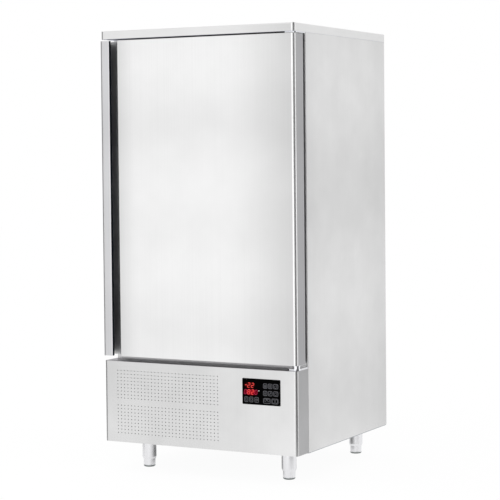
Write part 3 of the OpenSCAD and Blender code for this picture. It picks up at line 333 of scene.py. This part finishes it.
def lit_print(name, hex_colour, strength, mottle_mm):
    """Translucent ink that a display behind it lights with the given strength: an even colour with a fine
    screen-print mottle."""
    material, tree, ink = finish_named(name, Roughness=0.5, IOR=1.5, Specular_IOR_Level=0.1,
                                       Emission_Strength=strength)
    place = add(tree, "ShaderNodeTexCoord").outputs["Object"]
    mottle = add(tree, "ShaderNodeTexNoise", {"Vector": place, "Scale": 1 / (mottle_mm * MM), "Detail": 2.0})
    shade = toned(tree, hex_colour, mottle.outputs[0], low=0.85, high=1.15)
    tree.links.new(shade, ink.inputs["Base Color"])
    tree.links.new(shade, ink.inputs["Emission Color"])
    return material


# ---- finishes of the parts ----

# Places in mm: the grip strip; the finger channel behind it and the ledge under the door, which get painted
# shade; the underside of the top cover's front, which gets painted bluish shade; and the rim that the feet
# stand on
GRIP_STRIP = {"X": (-410.0, -359.5), "Y": (-400.0, -386.0)}
FINGER_CHANNEL_SHADE = {"X": (-361.8, -325.8), "Y": (-388.0, -330.0)}
BASE_LEDGE_SHADE = {"Z": (407.9, 408.2)}
COVER_UNDERSIDE_SHADE = {"Z": (1589.5, 1590.5)}
FOOT_RIM = {"Z": (-1.0, 5.5)}

finishes = {
    # Belt-ground 304, grain upright: pale satin with painted reflections of level waves, and painted shade
    # to both sides and in the channel
    "door_sheet": brushed_stainless(
        "brushed_304_upright", "#F3F3F3", roughness=0.33, grain="z",
        bands=[(371.0, 1265.0, 0.04), (743.0, 1265.0, 0.045)],
        edges=[("Y", "X", 100.0, 500.0, 0.31), ("Y", "X", -240.0, -350.0, 0.20)],
        zones=[(GRIP_STRIP, "#ECECEE"), (FINGER_CHANNEL_SHADE, "#5A606E")], painted_flange_shade="#AEAEB0"),
    # The same sheet, greyer and more clouded under the door, with a painted reflection band, a painted
    # highlight to the right and painted shade on the ledge
    "base_sheet": brushed_stainless(
        "brushed_304_base", "#DADADA", roughness=0.33, grain="z", cloud=0.045,
        bands=[(420.0, 350.0, 0.05)], edges=[("Y", "X", 0.0, 180.0, -0.07)],
        zones=[(BASE_LEDGE_SHADE, "#98959B")], painted_flange_shade="#AAAAAB"),
    # The same sheet on the sides: duller, with the painted reflection of one long wave, and painted shade to
    # the front and the back
    "side_sheet": brushed_stainless(
        "brushed_304_sides", "#E5E5E5", roughness=0.36, grain="z", cloud=0.035,
        bands=[(800.0, 1030.0, 0.10)],
        edges=[("X", "Y", -130.0, -420.0, 0.10), ("X", "Y", 130.0, 400.0, 0.05)]),
    # The same sheet with level grain: satin with painted shade to the right, and painted bluish shade under
    # its front
    "cover_sheet": brushed_stainless(
        "brushed_304_cover", "#E6E6E6", roughness=0.34, grain="x",
        edges=[("Y", "X", 100.0, 450.0, 0.18)], zones=[(COVER_UNDERSIDE_SHADE, "#D2D4E2")]),
    # Cold-rolled 304: glossier than the ground sheet, with the same faint streaks
    "inner_sheet": brushed_stainless("bright_rolled_304", "#DEDEDF", roughness=0.28, grain="z"),
    # Turned stainless: bright, with coarse faint streaks, and a dark rim on the floor
    "foot_metal": brushed_stainless("turned_stainless", "#E6E6E8", roughness=0.24, grain="z", streak_mm=6.0,
                                    cloud=0.0, zones=[(FOOT_RIM, "#6E7472")]),
    # Hot-dip galvanised steel: matt bluish grey in crystals that the eye just tells apart
    "galvanised": galvanised_sheet("galvanised_sheet", "#B4B8BC", spangle_mm=12.0),
    # Polished stainless: a mirror with faint handling marks
    "polished": worn_metal("polished_stainless", "#E6E7EA", roughness=0.12, mark_mm=8.0, spread=0.03),
    # Chromed steel wire: a cool mirror with hardly a mark
    "chromed_wire": worn_metal("chromed_wire", "#E2E4E6", roughness=0.10, mark_mm=6.0, spread=0.02),
    # Mill-finish aluminium strip: pale and soft, with rolling marks
    "fins": worn_metal("mill_aluminium_fins", "#D0D3D6", roughness=0.32, mark_mm=5.0, spread=0.06),
    # Drawn copper tube: a warm sheen, patchy from handling
    "copper": worn_metal("drawn_copper", "#D08A62", roughness=0.26, mark_mm=14.0, spread=0.12),
    # Zinc-plated steel: bright, with the small marks of driving
    "zinc_screw": worn_metal("zinc_plated_screw", "#C9CCD0", roughness=0.25, mark_mm=2.0, spread=0.06),
    # Foamed polyurethane: dull cream with a coarse grain of cells
    "foam": moulded("polyurethane_foam", "#E2D6AE", roughness=0.85, ior=1.5, grain_mm=1.6, depth_mm=0.6,
                    spread=0.10),
    # Moulded ABS: soft white sheen with a fine leathery grain
    "white_plastic": moulded("moulded_white_abs", "#E8E9E8", roughness=0.42, ior=1.53, grain_mm=0.9,
                             depth_mm=0.02),
    # Moulded glass-filled nylon: nearly black and dull, with a grain of fibres
    "dark_plastic": moulded("glass_filled_nylon", "#25272A", roughness=0.48, ior=1.53, grain_mm=0.8,
                            depth_mm=0.04),
    # Natural nylon: milky, with a wide and shallow grain
    "nylon": moulded("natural_nylon", "#ECECE4", roughness=0.38, ior=1.53, grain_mm=1.2, depth_mm=0.02),
    # Extruded PVC: dark grey and dull, with a faint grain
    "gasket": moulded("extruded_pvc_gasket", "#43464B", roughness=0.55, ior=1.53, grain_mm=1.5,
                      depth_mm=0.03),
    # Moulded rubber: matt black
    "rubber": moulded("black_rubber", "#141416", roughness=0.72, ior=1.52, grain_mm=1.0, depth_mm=0.05),
    # Stove enamel on steel: glossy black with a slight orange peel
    "black_paint": moulded("black_stove_enamel", "#1B1C1E", roughness=0.30, ior=1.5, grain_mm=2.0,
                           depth_mm=0.03),
    # Powder coat on steel: soft mid-grey with fine pebbles
    "grey_paint": moulded("grey_powder_coat", "#8E9398", roughness=0.46, ior=1.5, grain_mm=0.8,
                          depth_mm=0.05),
    # Solder mask on a circuit board: glossy green, mottled by what lies under it
    "board": moulded("green_solder_mask", "#1F6A43", roughness=0.35, ior=1.5, grain_mm=3.0, depth_mm=0.03,
                     spread=0.15),
    # Extruded PVC tube: plain grey with a soft sheen
    "drain": moulded("grey_pvc_tube", "#8D9194", roughness=0.45, ior=1.53, grain_mm=1.5, depth_mm=0.02),
    # Float glass printed on its back: black, with a dull red glow round the displays
    "glass": printed_glass(),
    # Printed ink over the lit digits: clear red
    "lit_digit": lit_print("lit_red_display", "#D8433F", strength=0.7, mottle_mm=1.5),
    # Printed ink over the digits that aren't on: dull crimson
    "unlit_digit": lit_print("unlit_red_display", "#962040", strength=0.5, mottle_mm=1.5),
    # Screen-printed ink of the keys: dark grey that hardly stands out from the glass
    "key_print": lit_print("grey_screen_print", "#5A5A5E", strength=0.05, mottle_mm=0.8),
    # Printed ink over the indicator: a pale dot
    "pale_lamp": lit_print("pale_indicator", "#C8CCC4", strength=0.4, mottle_mm=0.8),
}

finish_of = {
    "door_sheet": ["door_skin"],
    "base_sheet": ["front_panel"],
    "side_sheet": ["side_panel_left", "side_panel_right", "front_frame"],
    "cover_sheet": ["top_cover"],
    "inner_sheet": ["cabinet_liner", "door_liner", "rack_posts", "runners_left", "runners_right",
                    "fan_panel", "drip_tray"],
    "foot_metal": ["foot_sleeves", "foot_tip_front_left", "foot_tip_front_right", "foot_tip_rear_left",
                   "foot_tip_rear_right"],
    "galvanised": ["back_panel", "rear_grille", "base_pan", "corner_posts", "cabinet_floor",
                   "evaporator_plates", "condenser_plates", "condenser_shroud"],
    "polished": ["hinge_plate_top", "hinge_plate_bottom", "hinge_screws"],
    "chromed_wire": ["fan_guards"],
    "fins": ["evaporator_fins", "condenser_fins", "condenser_wheel"],
    "copper": ["evaporator_bends", "condenser_bends", "discharge_pipe", "condenser_outlet_pipe",
               "liquid_pipe", "suction_pipe", "filter_drier"],
    "foam": ["cabinet_foam", "door_foam"],
    "white_plastic": ["thermal_break", "probe_holder", "condensate_tray"],
    "dark_plastic": ["fan_wheel_upper", "fan_wheel_lower", "core_probe", "cable_gland"],
    "nylon": ["hinge_bushes"],
    "gasket": ["door_gasket"],
    "rubber": ["compressor_mounts"],
    "black_paint": ["compressor", "receiver", "fan_motors", "condenser_motor"],
    "grey_paint": ["electrical_box"],
    "board": ["control_board"],
    "drain": ["drain_tube"],
    "glass": ["touch_glass"],
}

for finish, members in finish_of.items():
    for member in members:
        nodes[member].data.materials.clear()
        nodes[member].data.materials.append(finishes[finish])


# ---- surfaces worked out with numpy ----

def piece(name, parts, finish, body, sharp_degrees=35.0):
    """One mesh of several (points, faces) parts in mm, smooth except at edges sharper than sharp_degrees."""
    counts = np.cumsum([0] + [len(points) for points, _ in parts])
    points = np.concatenate([points for points, _ in parts]) * MM
    faces = [[int(i) + int(first) for i in face]
             for first, (_, found) in zip(counts, parts) for face in found]
    mesh = bpy.data.meshes.new(name)
    mesh.from_pydata(points.tolist(), [], faces)
    mesh.materials.append(finishes[finish])
    mesh.shade_smooth()
    mesh.set_sharp_from_angle(angle=np.radians(sharp_degrees))
    mesh.update()
    made = placed(name, mesh)
    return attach(made, body)


def ring_faces(rows, columns, closed_rows):
    """Quads of a grid whose columns close on themselves, and whose rows do too if closed_rows."""
    row = np.arange(rows if closed_rows else rows - 1)[:, None]
    column = np.arange(columns)[None, :]
    next_row, next_column = (row + 1) % rows, (column + 1) % columns
    corners = [row * columns + column, row * columns + next_column,
               next_row * columns + next_column, next_row * columns + column]
    return np.stack([np.broadcast_to(c, (len(row), columns)) for c in corners], -1).reshape(-1, 4)


def rounded_path(half_across, half_up, radius, steps):
    """Points and outward directions of a rounded rectangle, anticlockwise: each corner's centre plus the
    radius along the direction at each of its angles, with straight lines between the corners."""
    angle = np.radians(np.linspace(0, 90, steps)[None, :] + np.array([0, 90, 180, 270])[:, None])
    outward = np.stack([np.cos(angle), np.sin(angle)], -1)
    corner = np.array([(1, 1), (-1, 1), (-1, -1), (1, -1)]) * (half_across - radius, half_up - radius)
    return (corner[:, None] + radius * outward).reshape(-1, 2), outward.reshape(-1, 2)


def framed(middle, path, outward, section):
    """A closed section carried round a closed path in an upright plane. section holds (out, depth),
    anticlockwise: the point is the path's point plus out along its outward direction, at depth along Y
    from the middle."""
    across = middle[0] + path[:, None, 0] + outward[:, None, 0] * section[None, :, 0]
    up = middle[2] + path[:, None, 1] + outward[:, None, 1] * section[None, :, 0]
    depth = np.broadcast_to(middle[1] + section[None, :, 1], across.shape)
    return np.stack([across, depth, up], -1).reshape(-1, 3), ring_faces(len(path), len(section), True)


def plate(outline, front, back):
    """A flat plate: an outline of (across, up), anticlockwise as seen from the front, between two depths."""
    count = len(outline)
    ends = [np.column_stack([outline[:, 0], np.full(count, depth), outline[:, 1]])
            for depth in (front, back)]
    around = np.arange(count)
    after = (around + 1) % count
    sides = np.column_stack([around, around + count, after + count, after])
    faces = [list(around), list(around[::-1] + count)] + sides.tolist()
    return np.concatenate(ends), faces


# ---- door gasket ----

GASKET_HALF = 13.0  # mm, of the strip's width
GASKET_CORNER = 45.0  # mm, radius of the strip's middle line at the door's corners
GASKET_STEPS = 9


def gasket_bellows():
    """Extruded magnetic gasket: a push-in foot, a bellows of two folds and a flat magnet head, in one ring.

    The section is mirrored about its middle and carried round the door on the CAD gasket's centre path."""
    low, high = [np.array(corner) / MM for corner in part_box("door_gasket")]
    path, outward = rounded_path((high[0] - low[0]) / 2 - GASKET_HALF, (high[2] - low[2]) / 2 - GASKET_HALF,
                                 GASKET_CORNER, GASKET_STEPS)
    depth = high[1] - low[1]
    # Half the section as (out, depth) in mm: the foot, the two folds and the head
    one_side = np.array([(GASKET_HALF, 0.0), (GASKET_HALF, 2.6), (11.5, 3.6), (5.2, 4.2), (4.2, 5.6),
                         (8.6, 7.6), (9.0, 8.4), (4.6, 10.4), (4.4, 11.2), (9.6, 13.4), (12.4, 14.4),
                         (GASKET_HALF, 15.2), (GASKET_HALF, depth - 1.2), (12.4, depth - 0.3),
                         (11.4, depth)])
    section = np.concatenate([one_side, (one_side * (-1, 1))[::-1]])
    middle = (low + high) / 2
    middle[1] = low[1]
    bellows = piece("gasket_bellows", [framed(middle, path, outward, section)], "gasket", "door",
                    sharp_degrees=40.0)
    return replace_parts(bellows, "door_gasket")


gasket_bellows()


# ---- display and keys of the touch glass, in mm ----

PRINT_THICK = 0.04  # of the digits and key lines, a screen print's own, on the glass's face
# Ends of a digit's segments on its figure eight, in half widths to the right and half heights up
SEGMENT_ENDS = {"a": ((-1, 1), (1, 1)), "b": ((1, 1), (1, 0)), "c": ((1, 0), (1, -1)),
                "d": ((-1, -1), (1, -1)), "e": ((-1, 0), (-1, -1)), "f": ((-1, 1), (-1, 0)),
                "g": ((-1, 0), (1, 0))}
# Segments of each sign: a to f go clockwise from the top one, and g is the middle one
SEGMENTS = {"-": "g", "0": "abcdef", "2": "abged", "8": "abcdefg"}
DIGIT_HALF = (4.5, 7.8)  # half width and half height of the figure eight
SLANT = 0.16  # to the right for each mm up
BAR_HALF = 0.85  # half width of a segment
BAR_GAP = 0.4  # between a segment's point and the end of its line
# Each digit's sign and the place of its middle
LIT_DIGITS = [("-", 15.0, 23.5), ("2", 26.0, 24.0), ("2", 41.0, 24.0), ("8", 25.6, 47.8), ("2", 41.0, 47.8)]
UNLIT_DIGITS = [("0", 12.6, 47.8), ("0", 54.6, 47.8)]
INDICATOR = (66.0, 42.0, 1.6, 1.6)  # place, half width and half height
# Touch keys in rows: top and bottom edge, then the left and right edge of each key
KEY_ROWS = [(64.6, 84.0, [(8.0, 23.4), (27.8, 43.2), (48.5, 65.3)]),
            (14.7, 32.6, [(83.0, 99.7), (102.8, 119.5), (123.5, 142.5)]),
            (40.5, 58.3, [(83.0, 99.7), (102.8, 119.5), (123.5, 142.5)]),
            (66.3, 85.3, [(83.0, 111.6), (116.0, 142.5)])]
KEY_LINE, MARK_LINE = 1.9, 1.3  # widths of the line round a key and of a ring inside it
KEY_CORNER = 3.4
# Plain marks inside the keys: the key's number, right and up from its middle, half width and half height
KEY_RINGS = [(0, 0, 0, 2.6, 5.2), (1, 0, 0, 3.6, 4.2), (2, 0, 0, 4.0, 4.0), (5, -0.5, -1.5, 4.2, 4.2),
             (6, 0, 0, 3.4, 5.0), (8, -0.5, -1.0, 4.2, 4.2), (9, -6.5, 2.0, 3.6, 4.4),
             (9, 6.5, 2.0, 3.6, 4.4), (10, -5.5, 0, 4.6, 6.0), (10, 6.0, 0, 4.6, 6.0)]
KEY_BARS = [(2, 0, 0, 3.0, 0.9), (3, -3.0, -1.0, 0.9, 5.2), (3, 0.2, -1.0, 0.9, 5.2),
            (3, 3.4, -1.0, 0.9, 5.2), (4, 0, -3.6, 4.4, 0.9), (4, 0, 0, 4.4, 0.9), (4, 0, 3.6, 4.4, 0.9),
            (6, 0, 0, 4.2, 0.9), (7, -2.2, -3.4, 2.6, 0.9), (7, 0, 0, 3.2, 0.9), (7, 2.2, 3.4, 2.6, 0.9),
            (5, 4.6, 5.0, 1.3, 1.3), (8, 4.6, 5.0, 1.3, 1.3), (9, 0, 4.6, 2.0, 3.2)]
RING_ROUND, BAR_ROUND = 0.9, 0.98  # corner radius as a share of the lesser half size
RING_STEPS, BAR_STEPS = 5, 4  # points of a corner


def digit(sign, across, down):
    """Seven-segment sign: each segment is a bar with pointed ends along one line of the figure eight,
    slanted by moving each point to the right in proportion to its height."""
    bars = []
    for segment in SEGMENTS[sign]:
        start, end = np.array(SEGMENT_ENDS[segment]) * DIGIT_HALF
        length = np.linalg.norm(end - start)
        along = (end - start) / length
        aside = np.array([-along[1], along[0]])
        # Distances along and aside of a bar's six corners, anticlockwise: two points and four shoulders
        near, far = BAR_GAP + BAR_HALF, length - BAR_GAP - BAR_HALF
        corners = np.array([(BAR_GAP, 0.0), (near, -BAR_HALF), (far, -BAR_HALF), (length - BAR_GAP, 0.0),
                            (far, BAR_HALF), (near, BAR_HALF)])
        outline = start + corners[:, :1] * along + corners[:, 1:] * aside
        outline[:, 0] += SLANT * outline[:, 1]
        bars.append(plate(outline + (GLASS_LEFT + across, GLASS_TOP - down), GLASS_FACE - PRINT_THICK,
                          GLASS_FACE))
    return bars


def key_line(across, down, half_across, half_down, radius, wide):
    """A printed rounded frame: a flat section carried round a rounded rectangle."""
    path, outward = rounded_path(half_across, half_down, radius, RING_STEPS)
    section = np.array([(-wide / 2, 0.0), (-wide / 2, -PRINT_THICK), (wide / 2, -PRINT_THICK),
                        (wide / 2, 0.0)])
    middle = (GLASS_LEFT + across, GLASS_FACE, GLASS_TOP - down)
    return framed(middle, path, outward, section)


def key_bar(across, down, half_across, half_down):
    """A printed bar with rounded ends."""
    path, _ = rounded_path(half_across, half_down, min(half_across, half_down) * BAR_ROUND, BAR_STEPS)
    return plate(path + (GLASS_LEFT + across, GLASS_TOP - down), GLASS_FACE - PRINT_THICK, GLASS_FACE)


def touch_display():
    """Two red displays, their unlit digits, a pale indicator and eleven touch keys with plain marks."""
    lit = [bar for place in LIT_DIGITS for bar in digit(*place)]
    piece("display_lit_digits", lit, "lit_digit", "cabinet")
    unlit = [bar for place in UNLIT_DIGITS for bar in digit(*place)]
    piece("display_unlit_digits", unlit, "unlit_digit", "cabinet")
    piece("display_indicator", [key_bar(*INDICATOR)], "pale_lamp", "cabinet")

    low = np.array([(left, top) for top, _, spans in KEY_ROWS for left, _ in spans])
    high = np.array([(right, bottom) for _, bottom, spans in KEY_ROWS for _, right in spans])
    centres, halves = (low + high) / 2, (high - low) / 2 - KEY_LINE / 2
    printed = [key_line(*centre, *half, KEY_CORNER, KEY_LINE) for centre, half in zip(centres, halves)]
    for key, right, up, half_across, half_down in KEY_RINGS:
        printed.append(key_line(centres[key, 0] + right, centres[key, 1] - up, half_across, half_down,
                                min(half_across, half_down) * RING_ROUND, MARK_LINE))
    printed += [key_bar(centres[key, 0] + right, centres[key, 1] - up, half_across, half_down)
                for key, right, up, half_across, half_down in KEY_BARS]
    piece("touch_key_print", printed, "key_print", "cabinet")


touch_display()


# ---- screws of the back, in mm ----

# Half section of a screw head: radius, height over the panel, and 1 on the wall of the hexagon socket
SCREW_PROFILE = [(4.6, -0.5, 0), (4.6, 0.5, 0), (4.2, 1.3, 0), (3.2, 1.9, 0), (1.9, 2.15, 0), (1.7, 2.0, 1),
                 (1.7, 0.9, 1), (0.4, 0.7, 0), (0.02, 0.7, 0)]
SCREW_TURNS = 24
SOCKET_EASE = 0.1  # share by which the hexagon is wider than the profile there
SCREW_INSET = 12.0  # from a panel's edge
SIDE_SCREWS, SIDE_END = 6, 20.0  # in each upright row, and from the panel's ends to its first and last
LEVEL_SCREWS, LEVEL_END = 3, 200.0
GRILLE_SCREWS = 4


def screw_heads(places, face):
    """Pan heads with a hexagon socket, turned round Y: radius and height along a profile from the face over
    the dome and down into the socket, whose radius is drawn in by the cosine rule of a hexagon."""
    radius, height, socket = np.array(SCREW_PROFILE).T[:, :, None]
    angle = np.linspace(0, 2 * np.pi, SCREW_TURNS, endpoint=False)
    hexagon = np.cos(np.pi / 6) / np.cos((angle % (np.pi / 3)) - np.pi / 6)
    radius = radius * np.where(socket > 0, hexagon + SOCKET_EASE, 1.0)
    shape = np.stack([radius * np.cos(angle), np.broadcast_to(face + height, radius.shape),
                      radius * np.sin(angle)], -1).reshape(-1, 3)
    faces = ring_faces(len(radius), SCREW_TURNS, False)[:, ::-1].tolist()
    last = (len(radius) - 1) * SCREW_TURNS
    faces += [list(range(SCREW_TURNS)), list(range(last + SCREW_TURNS - 1, last - 1, -1))]
    return [(shape + (across, 0.0, up), faces) for across, up in places]


def back_screws():
    """Screws round the edge of the back panel and of the grille over the machine compartment."""
    low, high = [np.array(corner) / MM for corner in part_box("back_panel")]
    grille_low, grille_high = [np.array(corner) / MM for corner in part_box("rear_grille")]
    sides = [(x, z) for x in (low[0] + SCREW_INSET, high[0] - SCREW_INSET)
             for z in np.linspace(low[2] + SIDE_END, high[2] - SIDE_END, SIDE_SCREWS)]
    rows = [(x, z) for z in (low[2] + SCREW_INSET, high[2] - SCREW_INSET)
            for x in np.linspace(low[0] + LEVEL_END, high[0] - LEVEL_END, LEVEL_SCREWS)]
    grille = [(x, z) for x in np.linspace(grille_low[0] + SCREW_INSET, grille_high[0] - SCREW_INSET,
                                          GRILLE_SCREWS)
              for z in (grille_low[2] + SCREW_INSET, grille_high[2] - SCREW_INSET)]
    piece("back_screws", screw_heads(sides + rows + grille, high[1]), "zinc_screw", "cabinet",
          sharp_degrees=30.0)


back_screws()


# ---- studio, in metres ----

# Tone of the cloth sweep that metal mirrors, by azimuth in degrees: 0 in front of the door, 90 to its right
SWEEP_TONES = [(-180, 0.98), (-118, 0.95), (-104, 0.30), (-58, 0.16), (-48, 1.00), (-36, 1.06),
               (-22, 1.06), (-12, 0.90), (-5, 1.15), (6, 1.45), (26, 1.40), (40, 0.40), (52, 0.12),
               (82, 0.12), (93, 0.60), (103, 1.25), (122, 1.20), (134, 0.92), (150, 0.88), (165, 0.95),
               (180, 0.98)]
SWEEP_STRENGTH = 1.6
SWEEP_RADIUS, SWEEP_BEND, SWEEP_LIFT = 3.2, 0.3, 0.004  # of its wall, of the bend at its foot, off the floor
SWEEP_FLOOR_RADII = [0.01, 0.4, 0.9]
SWEEP_WALL_HEIGHTS = [1.8, 3.4]
SWEEP_TURN, BEND_STEPS = 5, 7  # degrees between its columns, and points of the bend
# Distances from the middle over which the floor goes from its shade tone to white, and to the wall's tone
SHADE_EDGE, SHADE_TONE = (0.15, 0.40), 0.10
FLOOR_EDGE = (0.8, 1.1)
FLOOR_HALF = 15.0
FLOOR_GLOW = 0.95  # share of plain white in the floor where it is seen as the background
LAMP_AT, LAMP_TARGET = (-1.5, -2.4, 3.3), (0.0, 0.0, 0.9)
LAMP_SIZE, LAMP_WATTS = 2.4, 25.0


def cloth_sweep():
    """Pale cloth round the object with dark flags, which metal mirrors and the camera doesn't see.

    Each point is at azimuth a and at the profile's radius r and height z: (r sin a, -r cos a, z)."""
    azimuth = np.radians(np.arange(0, 360, SWEEP_TURN))[None, :]
    bend = np.radians(np.linspace(0, 90, BEND_STEPS))
    radius = np.concatenate([SWEEP_FLOOR_RADII, SWEEP_RADIUS - SWEEP_BEND * (1 - np.sin(bend)),
                             [SWEEP_RADIUS] * len(SWEEP_WALL_HEIGHTS)])[:, None]
    height = np.concatenate([[SWEEP_LIFT] * len(SWEEP_FLOOR_RADII),
                             SWEEP_LIFT + SWEEP_BEND * (1 - np.cos(bend)), SWEEP_WALL_HEIGHTS])[:, None]
    points = np.stack([radius * np.sin(azimuth), -radius * np.cos(azimuth),
                       np.broadcast_to(height, (len(radius), azimuth.shape[1]))], -1).reshape(-1, 3)
    mesh = bpy.data.meshes.new("cloth_sweep")
    mesh.from_pydata(points.tolist(), [], ring_faces(len(radius), azimuth.shape[1], False).tolist())
    sweep = placed("cloth_sweep", mesh)
    material = bpy.data.materials.new("pale_cloth_with_flags")
    material.use_nodes = True
    tree = material.node_tree
    tree.nodes.clear()
    place = add(tree, "ShaderNodeTexCoord").outputs["Object"]
    apart = add(tree, "ShaderNodeSeparateXYZ", {0: place})
    ahead = add(tree, "ShaderNodeMath", {0: apart.outputs["Y"], 1: -1.0}, operation="MULTIPLY")
    turn = add(tree, "ShaderNodeMath", {0: apart.outputs["X"], 1: ahead.outputs[0]}, operation="ARCTAN2")
    lap = add(tree, "ShaderNodeMapRange", {"Value": turn.outputs[0], "From Min": -np.pi, "From Max": np.pi})
    wall = add(tree, "ShaderNodeValToRGB", {"Fac": lap.outputs[0]})
    ramp = wall.color_ramp
    while len(ramp.elements) < len(SWEEP_TONES):
        ramp.elements.new(0.5)
    for element, (degrees, tone) in zip(ramp.elements, SWEEP_TONES):
        element.position = degrees / 360 + 0.5
        element.color = (tone / SWEEP_STRENGTH,) * 3 + (1.0,)
    # Near the object the floor is plain white, and in shade under the cabinet
    flat = add(tree, "ShaderNodeVectorMath", {0: place, 1: (1.0, 1.0, 0.0)}, operation="MULTIPLY")
    out = add(tree, "ShaderNodeVectorMath", {0: flat.outputs[0]}, operation="LENGTH")
    shade = add(tree, "ShaderNodeMapRange",
                {"Value": out.outputs["Value"], "From Min": SHADE_EDGE[0], "From Max": SHADE_EDGE[1],
                 "To Min": SHADE_TONE / SWEEP_STRENGTH, "To Max": 1.0 / SWEEP_STRENGTH})
    far = add(tree, "ShaderNodeMapRange",
              {"Value": out.outputs["Value"], "From Min": FLOOR_EDGE[0], "From Max": FLOOR_EDGE[1]})
    tone = add(tree, "ShaderNodeMix",
               {"Factor": far.outputs[0], "A": shade.outputs[0], "B": wall.outputs[0]}, data_type="RGBA")
    cloth = add(tree, "ShaderNodeEmission", {"Color": tone.outputs["Result"], "Strength": SWEEP_STRENGTH})
    add(tree, "ShaderNodeOutputMaterial", {"Surface": cloth.outputs[0]})
    material.cycles.emission_sampling = "NONE"
    mesh.materials.append(material)
    for kind in ("camera", "diffuse", "transmission", "volume_scatter", "shadow"):
        setattr(sweep, "visible_" + kind, False)


def background(tree):
    """1 for rays that see the white background itself: from the camera, mirrored or through glass."""
    seen = add(tree, "ShaderNodeLightPath")
    mirrored = add(tree, "ShaderNodeMath",
                   {0: seen.outputs["Is Camera Ray"], 1: seen.outputs["Is Glossy Ray"]}, operation="MAXIMUM")
    return add(tree, "ShaderNodeMath", {0: mirrored.outputs[0], 1: seen.outputs["Is Transmission Ray"]},
               operation="MAXIMUM").outputs[0]


def white_floor():
    """White studio paper, matt and even: nearly plain white as a background, with a trace of the shadow."""
    mesh = bpy.data.meshes.new("floor")
    corners = [(-FLOOR_HALF, -FLOOR_HALF, 0), (FLOOR_HALF, -FLOOR_HALF, 0), (FLOOR_HALF, FLOOR_HALF, 0),
               (-FLOOR_HALF, FLOOR_HALF, 0)]
    mesh.from_pydata(corners, [], [(0, 1, 2, 3)])
    floor = placed("floor", mesh)
    material, tree, paint = finish_named("matt_white_floor", Base_Color=linear("#FFFFFF"), Roughness=0.9)
    glow = add(tree, "ShaderNodeEmission", {"Color": linear("#FFFFFF"), "Strength": 1.0})
    share = add(tree, "ShaderNodeMath", {0: background(tree), 1: FLOOR_GLOW}, operation="MULTIPLY")
    both = add(tree, "ShaderNodeMixShader", {0: share.outputs[0], 1: paint.outputs[0], 2: glow.outputs[0]})
    tree.links.new(both.outputs[0], tree.nodes["Material Output"].inputs["Surface"])
    material.cycles.emission_sampling = "NONE"
    mesh.materials.append(material)


def studio_light():
    """White room, and one big soft lamp above and to the left."""
    world = bpy.data.worlds.new("studio")
    world.use_nodes = True
    world.cycles.sampling_method = "NONE"
    bpy.context.scene.world = world
    tree = world.node_tree
    tree.nodes.clear()
    light = add(tree, "ShaderNodeBackground", {"Color": linear("#FFFFFF"), "Strength": 1.0})
    add(tree, "ShaderNodeOutputWorld", {"Surface": light.outputs[0]})

    lamp = placed("overhead_softbox", bpy.data.lights.new("overhead_softbox", "AREA"))
    lamp.data.shape = "RECTANGLE"
    lamp.data.size, lamp.data.size_y = LAMP_SIZE, LAMP_SIZE
    lamp.data.energy = LAMP_WATTS
    back = np.subtract(LAMP_AT, LAMP_TARGET)
    back /= np.linalg.norm(back)
    right = np.cross([0.0, 0.0, 1.0], back)
    right /= np.linalg.norm(right)
    lamp.matrix_world = turned_to(LAMP_AT, right, np.cross(back, right), back)
    lamp.visible_glossy = False


cloth_sweep()
white_floor()
studio_light()
bpy.context.scene.view_settings.view_transform = "Standard"
